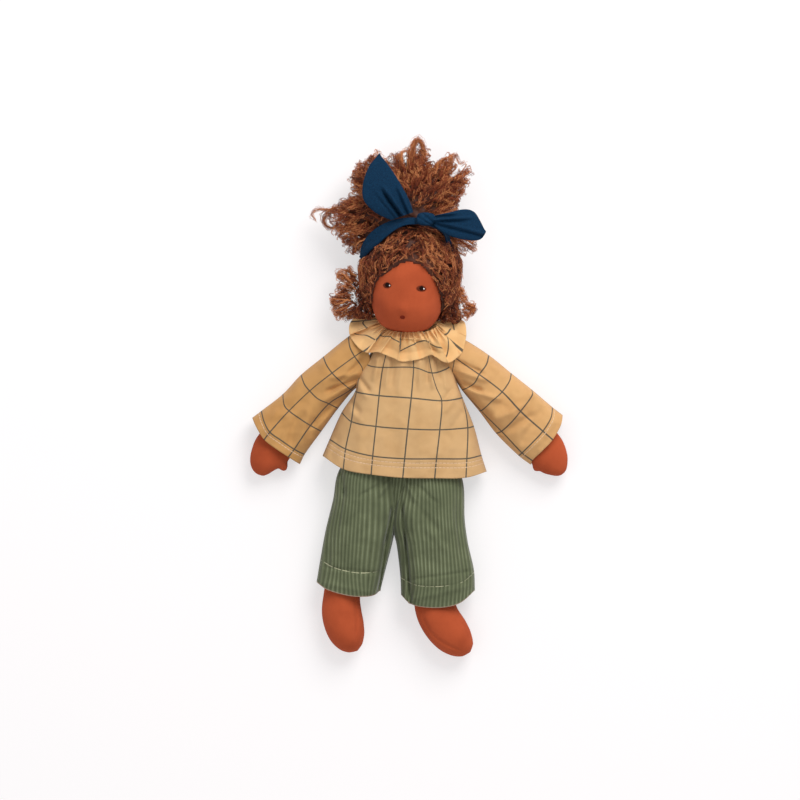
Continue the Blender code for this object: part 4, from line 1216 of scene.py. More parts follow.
@dataclass
class Hair:
    """The mohair: a cap framing the face, the loose puff above the band and the curls beside the cheeks."""

    band: Headband
    seed: int = 7
    strands: int = 3
    steps: int = 12
    most: int = 560
    cap_count: int = 1550
    puff_count: int = 950
    jaw_count: int = 360
    tuft_size: int = 9
    loop_size: int = 8
    cap_centre: Vector = field(default_factory=lambda: Vector((-3, 103.5, 30)))
    cap_half: Vector = field(default_factory=lambda: Vector((35.5, 34, 30)))
    face: tuple[tuple[float, float, float], ...] = (
        (62, -26, 21), (66.5, -24.6, 20), (71, -26.2, 20.2), (76, -27.4, 20.8), (83, -28.2, 20.8),
        (90.6, -27.4, 18.6), (97.7, -24.4, 15), (102.5, -18.4, 10.7), (107.5, -11, 5.2),
        (110.3, -5.5, -3.5),
    )
    puff_centre: Vector = field(default_factory=lambda: Vector((-8, 146, 24)))
    puff_deep: float = 19.0
    reaches: tuple[tuple[float, float], ...] = (
        (0, 34), (4, 36), (12, 35.5), (22, 41), (32, 48), (39, 53), (42, 42), (46, 40), (54, 50),
        (59, 42), (62, 35), (72, 40), (80, 50), (85, 46), (91, 38), (95, 34), (101, 41), (106, 40),
        (111, 36), (127, 47), (136, 47.5), (148, 47.5), (154, 44), (161, 38), (167, 36), (172, 42),
        (177, 46), (183, 53), (196, 55), (206, 50), (221, 48.5), (230, 42), (240, 24), (270, 14),
        (300, 22), (322, 40), (334, 50), (342, 44), (352, 34), (360, 34),
    )

    @cached_property
    def _reach(self) -> Profile:
        """The puff's reach by bearing."""
        return Profile(self.reaches)

    @cached_property
    def _face(self) -> Profile:
        """The edges of the face's opening, by Y."""
        return Profile(self.face)

    def reach(self, bearing: float) -> float:
        """How far the puff's body reaches at a bearing in radians, in millimetres."""
        return self._reach.at(math.degrees(bearing) % 360)[0]

    def shows_face(self, point: Vector, margin: float = 0.0) -> bool:
        """Whether a place in plan is inside the opening for the face.

        Args:
            point: The place, in millimetres.
            margin: How much wider to take the opening.

        Returns:
            True inside the opening.
        """
        if point.z < 27 or not self.face[0][0] <= point.y <= self.face[-1][0] + margin:
            return False
        low, high = self._face.at(point.y)
        return low - margin < point.x < high + margin

    def on_cap(self, turn: float, latitude: float, inner: float = 0.0) -> tuple[Vector, Vector]:
        """A point on the cap.

        Args:
            turn: Round the head, from the doll's left over its front.
            latitude: From the neck to the crown.
            inner: How far below the cap's outside.

        Returns:
            The point and the direction out of the cap there.
        """
        fullness = math.sin(latitude) ** (0.5 if latitude < math.pi / 2 else 0.8)
        out = Vector((math.cos(turn) * fullness, -math.cos(latitude), math.sin(turn) * fullness))
        half = self.cap_half - Vector((inner, inner, inner))
        point = self.cap_centre + Vector((half.x * out.x, half.y * out.y, half.z * out.z))
        return point, out.normalized()

    def under_cap(self, around: float, run: float) -> tuple[Vector, tuple[float, float]]:
        """A point of the base of the cap, which keeps light from showing between the curls; its darker
        mohair is painted shade.
        """
        point, out = self.on_cap(math.tau * around - math.pi / 2, math.pi * (0.07 + 0.93 * run), 2.8)
        point += out * (1.3 * ripple(point.x / 4, point.y / 4, point.z / 4, 3))
        point.z = max(point.z, 0.6)
        if self.shows_face(point, -0.7):
            point.z = min(point.z, 38)
        return point, (around, run)

    def under_puff(self) -> bpy.types.Object:
        """The heart of the puff, in the darker mohair that is painted shade."""
        mesh = bmesh.new()
        bmesh.ops.create_icosphere(mesh, subdivisions=5, radius=1)
        for vert in mesh.verts:
            reach = self.reach(math.atan2(vert.co.y, vert.co.x)) * 0.74
            rough = 1 + 0.14 * ripple(*(vert.co * 5), 11) + 0.12 * ripple(*(vert.co * 14), 5)
            half = Vector((reach, reach, self.puff_deep * 0.8))
            vert.co = (self.puff_centre + half * vert.co * rough) * MM
        bmesh.ops.recalc_face_normals(mesh, faces=mesh.faces)
        return piece("hair_puff_under", mesh)

    def curls(self, name: str, locks: Sequence[Lock]) -> bpy.types.Object:
        """Makes one piece of many locks, with each point's place along its lock and the lock's tone on it.

        Args:
            name: The piece's name.
            locks: The locks.

        Returns:
            The piece, as a mesh.
        """
        line = bpy.data.curves.new(name, "CURVE")
        line.dimensions = "3D"
        line.bevel_depth = MM
        line.bevel_resolution = 0
        line.use_fill_caps = True
        for lock in locks:
            for placed in lock.strands(self.strands, self.steps):
                spline = line.splines.new("POLY")
                spline.points.add(len(placed) - 1)
                for point, (where, radius) in zip(spline.points, placed):
                    point.co = (where.x * MM, where.y * MM, max(where.z, 0.5) * MM, 1)
                    point.radius = radius
        holder = bpy.data.objects.new(f"{name}_line", line)
        bpy.context.collection.objects.link(holder)
        data = bpy.data.meshes.new_from_object(holder.evaluated_get(bpy.context.evaluated_depsgraph_get()))
        bpy.data.objects.remove(holder)
        data.name = name
        data.shade_smooth()
        each = len(data.vertices) // (len(locks) * self.strands)
        LOG.info("%s: %d points in each strand", name, each)
        along = data.attributes.new(LOCK_MAP, "FLOAT_VECTOR", "POINT")
        for index, entry in enumerate(along.data):
            step = min(index % each // 4, self.steps)
            lock = locks[min(index // each // self.strands, len(locks) - 1)]
            entry.vector = (step / self.steps, lock.tone, 0)
        made = bpy.data.objects.new(name, data)
        bpy.context.collection.objects.link(made)
        return made

    def lock(
        self,
        guide: Sequence[Vector],
        rng: random.Random,
        coil: float,
        strand: float = 0.23,
        light: float = 0.0,
    ) -> Lock:
        """A lock along a guide line, with its winding left to chance.

        Args:
            guide: The points that it runs through.
            rng: The seeded source of chance.
            coil: About how wide it winds.
            strand: About how thick each strand is.
            light: How much paler it is than most; the callers use it for painted light on one side of the
                cap and a painted highlight on the outer tufts and rings.

        Returns:
            The lock.
        """
        length = sum((after - before).length for before, after in zip(guide, guide[1:]))
        return Lock(
            guide=tuple(guide),
            coil=coil * rng.uniform(0.7, 1.35),
            turns=length / rng.uniform(4.2, 7.5),
            strand=strand * rng.uniform(0.75, 1.25),
            start=rng.uniform(0, math.tau),
            tone=rng.random() + light,
        )

    def cap_locks(self, rng: random.Random) -> list[Lock]:
        """Short curls all over the cap, combed down and away from the band."""
        locks: list[Lock] = []
        while len(locks) < self.cap_count:
            root, out = self.on_cap(rng.uniform(-0.5, 1.5) * math.pi, rng.uniform(0.13, 0.93) * math.pi, 2.2)
            down = Vector((0.35 * math.copysign(1, root.x + 4), -1, 0))
            down = (down - out * down.dot(out)).normalized()
            swing = rng.gauss(0, 0.6)
            flow = down * math.cos(swing) + out.cross(down) * math.sin(swing)
            length = rng.uniform(8, 14)
            aside = out.cross(flow) * rng.gauss(0, 1.5)
            guide = [root, root + flow * length * 0.35 + out * rng.uniform(1, 2.6) + aside]
            guide.append(root + flow * length * 0.7 + out * rng.uniform(0.6, 2.4) - aside)
            guide.append(root + flow * length + out * rng.uniform(-0.5, 1.6))
            clash = any(
                self.shows_face(spot, 0.3) or self.band.hides(spot, 4.6) or spot.z < 1.2 for spot in guide
            )
            low = any(spot.y < 66.5 + 0.25 * max(-22 - spot.x, spot.x - 20, 0) for spot in guide)
            if not clash and not (low and root.z > 12):
                # Painted light: the curls grow paler towards the doll's left, the side that the key lamp
                # lights.
                locks.append(self.lock(guide, rng, 1.0, 0.2, light=0.012 * root.x))
        return locks

    def puff_locks(self, rng: random.Random) -> list[Lock]:
        """Locks that fan out over the puff from where it is tied."""
        locks: list[Lock] = []
        while len(locks) < self.puff_count:
            bearing = rng.uniform(0, math.tau)
            reach = self.reach(bearing)
            share = math.sqrt(rng.uniform(0.01, 0.72))
            if rng.random() > reach / 44:
                continue
            outward = Vector((math.cos(bearing), math.sin(bearing), 0))
            aside = Vector((-outward.y, outward.x, 0))
            over = math.copysign(abs(rng.uniform(-0.75, 1)) ** 0.5, rng.uniform(-0.45, 1))
            length = min(rng.uniform(8, 16), reach * (rng.uniform(0.84, 0.98) - share) + 2)
            wave, spots = rng.uniform(-0.3, 0.3), []
            for step in (0, 0.33, 0.67, 1):
                far = share + step * length / reach
                deep = self.puff_deep * math.sqrt(max(1.06 - min(far, 1) ** 2, 0.06)) * over
                bend = aside * (length * (wave * math.sin(4.5 * step) + rng.uniform(-0.14, 0.14)))
                rise = Vector((0, 0, deep + 1.5 * step))
                spots.append(self.puff_centre + outward * (reach * far) + bend + rise)
            hook = rng.choice((-1, 1)) * rng.uniform(1, 3)
            spots.append(spots[-1] + aside * hook - outward * rng.uniform(-0.5, 2))
            if spots[-1].z < 2 or any(self.band.hides(spot, 3.4) for spot in spots):
                continue
            if any(spot.y < 129 and abs(spot.x + 2) < 33 and spot.z > 20 for spot in spots):
                continue
            locks.append(self.lock(spots, rng, 1.5, light=0.1))
        return locks

    def tuft_locks(
        self, centre: Vector, tips: Sequence[tuple[float, float]], rng: random.Random
    ) -> list[Lock]:
        """The tufts that make the outline.

        Args:
            centre: Where they come from.
            tips: Where each ends, in plan.
            rng: The seeded source of chance.

        Returns:
            The locks.
        """
        locks = []
        for tip in tips:
            away = Vector((tip[0], tip[1], centre.z)) - centre
            aside = Vector((-away.y, away.x, 0)).normalized()
            for _ in range(self.tuft_size):
                shift = Vector((rng.gauss(0, 1.1), rng.gauss(0, 1.1), rng.gauss(0, 3)))
                root = centre + away * rng.uniform(0.5, 0.7) + shift * 1.6
                middle = centre + away * 0.84 + aside * rng.gauss(0, 1.6) + shift
                end = centre + away * rng.uniform(0.92, 1.01) + aside * rng.gauss(0, 1.3) + shift * 0.5
                ring = rng.choice((-1, 1)) * rng.uniform(1, 2.6)
                hook = end + aside * ring - away.normalized() * rng.uniform(-0.5, 1)
                back = end + aside * ring * 0.9 - away.normalized() * rng.uniform(2, 4)
                coil, strand = (1.5, 0.11) if rng.random() < 0.35 else (0.9, 0.17)
                # Painted highlight: the tufts of the outline are made paler, as where light catches the rim
                # of the hair.
                locks.append(self.lock((root, middle, end, hook, back), rng, coil, strand, 0.55))
        return locks

    def loop_locks(self, rng: random.Random) -> list[Lock]:
        """The open rings that stand out of the outline."""
        locks = []
        for loop in LOOPS:
            for _ in range(self.loop_size):
                guide = [Vector([rng.gauss(at, by) for at, by in zip(spot, (0.9, 0.9, 1))]) for spot in loop]
                # Painted highlight: the rings are made paler, as where light catches the rim of the hair.
                locks.append(self.lock(guide, rng, 1.3, 0.11, 0.6))
        return locks

    def jaw_locks(self, rng: random.Random) -> list[Lock]:
        """The darker hair that falls beside the cheeks down to the collar."""
        locks = []
        for _ in range(self.jaw_count):
            side = rng.choice((-1, 1))
            x = rng.uniform(-38, -25) if side < 0 else rng.uniform(19, 32)
            root = Vector((x, rng.uniform(70, 96), rng.uniform(8, 34)))
            end = root + Vector((side * rng.uniform(-1.5, 4), -rng.uniform(5, 9), rng.uniform(-5, 2)))
            end.y = max(end.y, 68.5 + (0.3 * (x - 20) if side > 0 else 0.0))
            middle = (root + end) / 2 + Vector((side * rng.uniform(0, 2.5), 0, rng.uniform(0, 2)))
            if not any(self.shows_face(spot, 0.8) for spot in (root, middle, end)):
                locks.append(self.lock((root, middle, end), rng, 1.2, light=-0.3))
        return locks

    def build(self) -> None:
        """Builds every mass of hair on the head."""
        rng = random.Random(self.seed)
        # Painted shade: the bases under the curls take a darker copy of the mohair, for the shadow inside
        # the hair.
        deep = Mohair("mohair_under", root="#46200F", body="#6A3418", tip="#94552C").material()
        look = Mohair().material()
        cheeks = {
            side: self.tuft_locks(Vector((-30 if side is Side.RIGHT else 26, 85, 22)), tips, rng)
            for side, tips in CHEEK_TUFTS.items()
        }
        under = surface("hair_under", 110, 70, self.under_cap)
        masses: dict[str, tuple[list[Lock], tuple[str, ...]]] = {
            "hair_cap_curls": (self.cap_locks(rng), ()),
            "hair_puff_curls": (self.puff_locks(rng), ()),
            "hair_tufts": (self.tuft_locks(self.puff_centre, TUFTS, rng) + self.loop_locks(rng), ()),
            "right_side_curls": (cheeks[Side.RIGHT] + self.jaw_locks(rng), ("right_curls",)),
            "left_side_curls": (cheeks[Side.LEFT], ("left_curls",)),
        }
        fit(under, deep, "mohair", "head", "hair_cap")
        fit(self.under_puff(), deep, "mohair", "head", "hair_puff")
        for name, (locks, nodes) in masses.items():
            for part in range(0, len(locks), self.most):
                tail = f"_{part // self.most + 1}" if len(locks) > self.most else ""
                made = self.curls(f"{name}{tail}", locks[part : part + self.most])
                fit(made, look, "mohair", "head", *nodes)


# The clothes

BLOUSE_FRONT = Net((
        (0, ((-17, -55.3, -28.8), (0, -40, -37), (21.5, -20.3, -39.4), (43, 1.9, -40.1),
             (64.5, 24.2, -38.9), (86, 46, -37), (102, 60.4, -31.8))),
        (13.4, ((-13, -51.2, -16.9), (0, -39.4, -22.8), (21.5, -20.1, -26.4), (43, 2.3, -26.7),
                (64.5, 24.5, -25.2), (86, 45.7, -23.6), (98, 56, -20.7))),
        (34.9, ((-8, -44.1, 2.4), (0, -36.7, -3.4), (21.5, -19.3, -5.6), (43, 3, -5.8),
                (64.5, 25.4, -4.8), (86, 44.9, -2.1), (91, 49.2, -0.8))),
        (56.4, ((-2, -35.6, 17.8), (4, -32.1, 17), (21.5, -18.6, 16), (43, 3.9, 15.9), (64.5, 25.3, 15.5),
                (81, 36.8, 17.7), (87, 39.8, 18.8))),
        (66, ((-2, -34.7, 26.5), (6, -30.1, 26.1), (21.5, -18.2, 25.4), (43, 4.1, 26.1),
              (64.5, 21.1, 24.1), (80, 31.6, 27.5), (85, 35.2, 29.1))),
        (77.9, ((-1, -30.4, 37.7), (6, -25.4, 36.1), (21.5, -17.3, 35.9), (43, 4.1, 37.3),
                (64.5, 17.2, 34.4), (79, 26.4, 37.5), (84, 30.8, 40.9))),
        (92, ((-4, -26.1, 46.8), (6, -22.6, 47), (21.5, -15.4, 47.5), (43, 2.4, 48.8), (64.5, 13.1, 49.5),
              (79, 20.2, 50), (86, 26.4, 50.5))),
        (104, ((-4, -24.1, 56.8), (6, -19.7, 57.1), (21.5, -13.5, 58), (43, -0.2, 59.3),
               (64.5, 10.6, 59.6), (79, 16.8, 59.6), (86, 22.2, 60))),
))
RIGHT_SLEEVE = Net((
        (0, ((-18, -106.4, -5.7), (-8, -102.5, -12.7), (0, -96.8, -20.4), (10.5, -88.6, -25.9),
             (21.5, -79.1, -31.4), (31, -70.7, -35.8))),
        (6.5, ((-17, -100.3, -0.4), (-8, -97.5, -8.2), (0, -93.1, -14.8), (10.5, -84.5, -20.2),
               (21.5, -75.3, -25.6), (30, -67.9, -28.8))),
        (28, ((-13.5, -86.1, 12.4), (-7, -84.5, 4.9), (0, -80.8, 1), (10.5, -72.6, -4.1),
              (21.5, -65.1, -8.2), (30, -57.3, -11.8))),
        (49.5, ((-13.5, -74.3, 26.8), (-7, -71.3, 20.3), (0, -67.3, 15.9), (10.5, -61.1, 10.8),
                (21.5, -53.3, 7.9), (29, -46.7, 5.1))),
        (71, ((-14, -59.6, 40.5), (-7, -56.7, 34.7), (0, -52.5, 29.5), (10.5, -46.5, 24.3),
              (18, -40.9, 20.2), (24, -37.3, 18.1))),
        (92.5, ((-15, -43, 55.9), (-7, -41.3, 48.3), (0, -37.6, 42.1), (10.5, -33.7, 37.4),
                (16, -31.5, 33.8), (24, -29.8, 24.7))),
        (104, ((-15, -34.6, 61.7), (-7, -32.6, 55), (0, -29.5, 48.4), (10.5, -27.2, 43.2),
               (16, -26.5, 37.9), (24, -26.3, 29.6))),
))
LEFT_SLEEVE = Net((
        (0, ((-19, 110.8, 11.4), (-9, 109.8, 4.1), (0, 104.8, -6.3), (10.5, 98.5, -14.2),
             (21.5, 91.6, -21.9), (25, 90.8, -24.9))),
        (9.3, ((-18.5, 103.3, 16.4), (-9, 102.4, 8.5), (0, 97.5, -0.8), (10.5, 90.6, -9.5),
               (21.5, 84.1, -17), (25, 82, -19.2))),
        (30.5, ((-17.5, 88, 27.7), (-9, 88.3, 23.1), (0, 81.1, 11.8), (10.5, 75.4, 3.9),
                (21.5, 68.9, -3.1), (26, 65.3, -4.9))),
        (52, ((-15, 73, 38), (-8, 71.9, 32.2), (0, 67.3, 24.5), (10.5, 60.6, 17.4), (19, 54.9, 11.3),
              (24, 52.4, 9.8))),
        (73.5, ((-15.5, 56.4, 49.6), (-8, 55, 42.8), (0, 50.5, 35.5), (8, 47.6, 29.4), (14, 43.6, 26.1),
                (21, 39.2, 23.8))),
        (92, ((-15.5, 39.4, 58.9), (-8, 37.3, 51.5), (0, 34.7, 44.9), (8, 33.9, 39.1), (14, 33.1, 35.2),
              (20, 32.9, 32.2))),
        (104, ((-15.5, 30.9, 61), (-8, 29.7, 56.3), (0, 27.8, 50.1), (8, 26.7, 43.9), (14, 27, 40.9),
               (20, 28, 36.4))),
))
RIGHT_TROUSER = Net((
        (0, ((-24, -53.3, -117.5), (-17, -45.7, -122), (-6, -31.4, -125.1), (4, -20.1, -125.3),
             (14, -11.8, -123.4), (17, -8.2, -120))),
        (17, ((-23, -51.8, -101.9), (-17, -44, -106.1), (-6, -33, -108.7), (4, -22.1, -109.3),
              (13, -9.9, -107.3), (17, -5.5, -104.8))),
        (40, ((-22, -49.5, -81.1), (-16, -43.8, -81.7), (-6, -33.4, -82.8), (4, -22.1, -83),
              (14, -6.1, -81), (17, -1.4, -81))),
        (61, ((-21, -45.8, -59.3), (-16, -41.6, -59.4), (-6, -33.1, -59.8), (4, -22.7, -60.5),
              (16, -3.4, -60.6), (18, -0.6, -60.5))),
        (84, ((-19, -43.1, -38.4), (-14, -39.3, -38.6), (-6, -32.7, -39.1), (4, -23.2, -39.8),
              (17, -5.3, -40.5), (20, -2.5, -40.3))),
        (100, ((-16, -32, -22), (-12, -29.5, -22), (-6, -25.7, -22), (4, -19.3, -22), (17, -7.3, -22),
               (20, -2.5, -22))),
        (122, ((-16, -20.1, -3), (-12, -19.4, -2.6), (-6, -17.7, -2.3), (4, -13.3, -2), (17, -5.3, -2),
               (20, -2.5, -2))),
))
LEFT_TROUSER = Net((
        (0, ((-24, 58, -115.4), (-14, 48.5, -124.6), (-4, 37.5, -128.6), (8, 23.4, -129.6),
             (18, 13, -127.7), (24, 6.5, -122.3))),
        (20, ((-23, 56.2, -101), (-15, 49.1, -107.6), (-4, 37.2, -111.2), (8, 24.1, -112.6),
              (18, 14.2, -111.9), (24, 4.9, -108.3))),
        (44, ((-22, 50.7, -82.6), (-16, 45.6, -83.4), (-4, 34.4, -85.6), (8, 21.4, -87), (20, 7.8, -87.4),
              (26, 1, -87.9))),
        (60, ((-21, 47.4, -66.8), (-16, 42.6, -67.6), (-4, 32.3, -68.8), (8, 19.3, -70.2),
              (20, 3.4, -70.8), (27, -3.1, -72.2))),
        (84, ((-20, 43.9, -38.9), (-15, 39.2, -39.2), (-4, 28.4, -40), (8, 17.2, -40.8), (20, 5.1, -42.5),
              (27, -0.9, -43))),
        (100, ((-17, 33.6, -22.4), (-12, 29.9, -22.2), (-4, 22.5, -22.2), (8, 13.2, -22.4),
               (20, 3.1, -22.1), (24, -1.1, -22.8))),
        (122, ((-17, 20.6, -2.4), (-12, 19.4, -2.2), (-4, 15.5, -2.2), (8, 9.2, -2.4), (20, 1.1, -2.1),
               (24, -1.1, -2.8))),
))


BLOUSE_FOLDS = (
    (-34.2, 29, -25.5, 18.5, 1.6, -1.9), (-37, 25, -27, 14, 2.2, 1.5), (-38, 10.5, -31, 3, 2, -1.6),
    (-39, 4, -29, -3, 2.2, 1.1), (-18, 44, -19.5, 20, 1.5, -1.6), (-21.5, 44, -23, 26, 1.8, 1.5),
    (-13.2, 42, -14.5, 22, 1.4, 1.6), (-9.5, 41, -10.5, 24, 1.5, -1.3), (-4, 41, -5, 18, 2, 1.4),
    (1, 42, 0.5, 26, 1.4, -1), (8, 43, 9.5, 22, 1.8, 1.1), (13, 44, 14.5, 27, 1.2, -1.3),
    (16.4, 45, 18.5, 24, 1.4, 1.5), (20, 45, 22.5, 30, 1.3, -1.3), (25, 40, 28, 24, 1.6, 1.2),
    (33, 25, 24, 12, 1.8, -1.5), (37, 22, 28, 8, 2.2, 1.2), (41, 10, 33, -4, 2.4, -1),
    (-8, 12, -4, -38, 5, -1.2), (-28, -8, -33, -38, 4, 1.3), (12, 8, 14, -40, 5, 1),
    (31, -6, 36, -38, 4, -1.2), (-45, -14, -49, -32, 3, -1.2), (47, -12, 52, -34, 3, 1.1),
)
RIGHT_TROUSER_FOLDS = (
    (-11.5, -62, -15, -122, 2.6, 1.8), (-3.6, -62, -7.2, -87, 1, -4), (-6.4, -80, -9.8, -126, 1, -4),
    (-42, -37, -38.3, -55, 1.2, -2), (-38.3, -50, -41, -80, 1.3, -1.6), (-12, -45, -28, -56, 1.6, -1.2),
    (-31, -48, -33, -118, 4.5, 1.2), (-42, -45, -47, -110, 2.5, -1.4), (-24, -62, -36, -78, 2.5, -1),
    (-22, -70, -38, -92, 3, 0.9), (-5, -40, -14, -54, 1.6, 1.6), (-48, -106.5, -6, -108.5, 1.1, -0.9),
    (-50, -117.5, -8, -122.5, 2, 0.8),
)
LEFT_TROUSER_FOLDS = (
    (11, -64, 18, -124, 2.8, 1.9), (2.5, -58, 7.6, -89, 1, -4), (6.6, -83, 14.2, -130, 1, -4),
    (12, -44, 26, -56, 1.6, -1.2), (40, -60, 46, -92, 1.4, -1), (30, -48, 36, -120, 4.5, 1.2),
    (40, -45, 51, -112, 2.5, -1.3), (14, -60, 30, -76, 2.5, -1), (20, -74, 38, -90, 3, 0.9),
    (4, -42, 12, -56, 1.6, 1.6), (55, -102, 8, -112, 1.1, -0.9), (56, -112, 8, -126.5, 2, 0.8),
)
LEFT_SLEEVE_FOLDS = (
    (32.2, 44.2, 52.2, 36.8, 1.8, -2.4), (35.2, 37.1, 56.9, 31.9, 2.2, 2.4),
    (38.2, 29.1, 53, 24.3, 1.7, -2.8), (40.1, 24.1, 66.7, 19.3, 2.2, 2.2),
    (43.6, 21.4, 66.7, -2.1, 2.4, -2.4), (72.7, 38.2, 66.4, 12.7, 4, -1.7),
    (66.9, -5, 90.2, 9.9, 2.6, -2.2), (60.4, 3.4, 83.2, 16, 2.6, 1.8), (88.3, 27.5, 74.3, 5.8, 4, 1.7),
    (96.5, 14.8, 82.1, -11.4, 3, -1.8), (51.1, 51.5, 63.8, 39.1, 3, 1.4),
    (105.9, 8, 92.5, -12.1, 2.6, 1.5),
)
RIGHT_SLEEVE_FOLDS = (
    (-31.5, 40.5, -47.3, 23.2, 2, -2.2), (-32.8, 30.8, -53.4, 26.1, 2.2, 2.4),
    (-34.8, 26.2, -55, 16.7, 1.6, -3), (-35.3, 24, -58.8, 8.3, 2.4, 2.2),
    (-37.5, 19.9, -65.7, -9.9, 2.6, -2.6), (-46.3, 9.2, -62.6, -11.9, 2.4, 1.8),
    (-72.5, 25.1, -85.4, 7.9, 3.2, 1.7), (-58.1, 18.7, -81.9, 0.8, 4, -1.7),
    (-66.6, 3.3, -71.4, -23.6, 3, 1.8), (-74.4, -1.6, -78.8, -22.6, 3, -1.8),
    (-88.6, 1.8, -94.8, -16.3, 3, 1.5), (-48.9, 45.9, -61.3, 33.3, 3, 1.4),
)
SEAT_FOLDS = (
    (-8, -40, -3, -70, 1.4, -1.4), (0, -38, 0, -64, 1.6, 1.2), (9, -40, 2, -68, 1.4, -1.4),
)


def garment(
    name: str,
    form: Garment,
    grid: tuple[int, int],
    cloth: float,
    look: bpy.types.Material,
) -> bpy.types.Object:
    """Makes one piece of clothing.

    Args:
        name: The piece's name.
        form: Its form.
        grid: Its faces round and along.
        cloth: Its thickness.
        look: Its material.

    Returns:
        The piece.
    """
    made = thicken(surface(name, *grid, form.place), cloth)
    dress(made, look)
    widths = [2 * (row[-1][0] - row[0][0]) * MM for _, row in form.net.rows]
    places = [along * MM for along, _ in form.net.rows]
    area = sum((b - a) * (u + v) / 2 for a, b, u, v in zip(places, places[1:], widths, widths[1:]))
    places[-1] - places[0]
    return made


@dataclass
class Blouse:
    """The check blouse's body, flared to its hem."""

    under: Under

    def build(self) -> bpy.types.Object:
        """Builds the body of the blouse."""
        rise = (
            (0, 9, 27.8, 8.5, 2.5), (0.25, 10, 28.2, 9.4, 2.5), (0.5, 16, 22.2, 15, 2.5),
            (0.62, 19.5, 16.5, 18.5, 2.6), (0.8, 20, 16, 19, 2.6), (1, 22, 14, 19, 2.4),
        )
        form = Garment(BLOUSE_FRONT, rise, BLOUSE_FOLDS, self.under, 0.6, seed=2, rough=0.8, clear=1.1)
        look = CheckCotton("blouse_cotton", hems=(7.2, 10.4), along_start=13.4).material()
        made = garment("blouse_cloth", form, (240, 130), 0.5, look)
        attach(made, "torso")
        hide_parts("blouse_body")
        return made


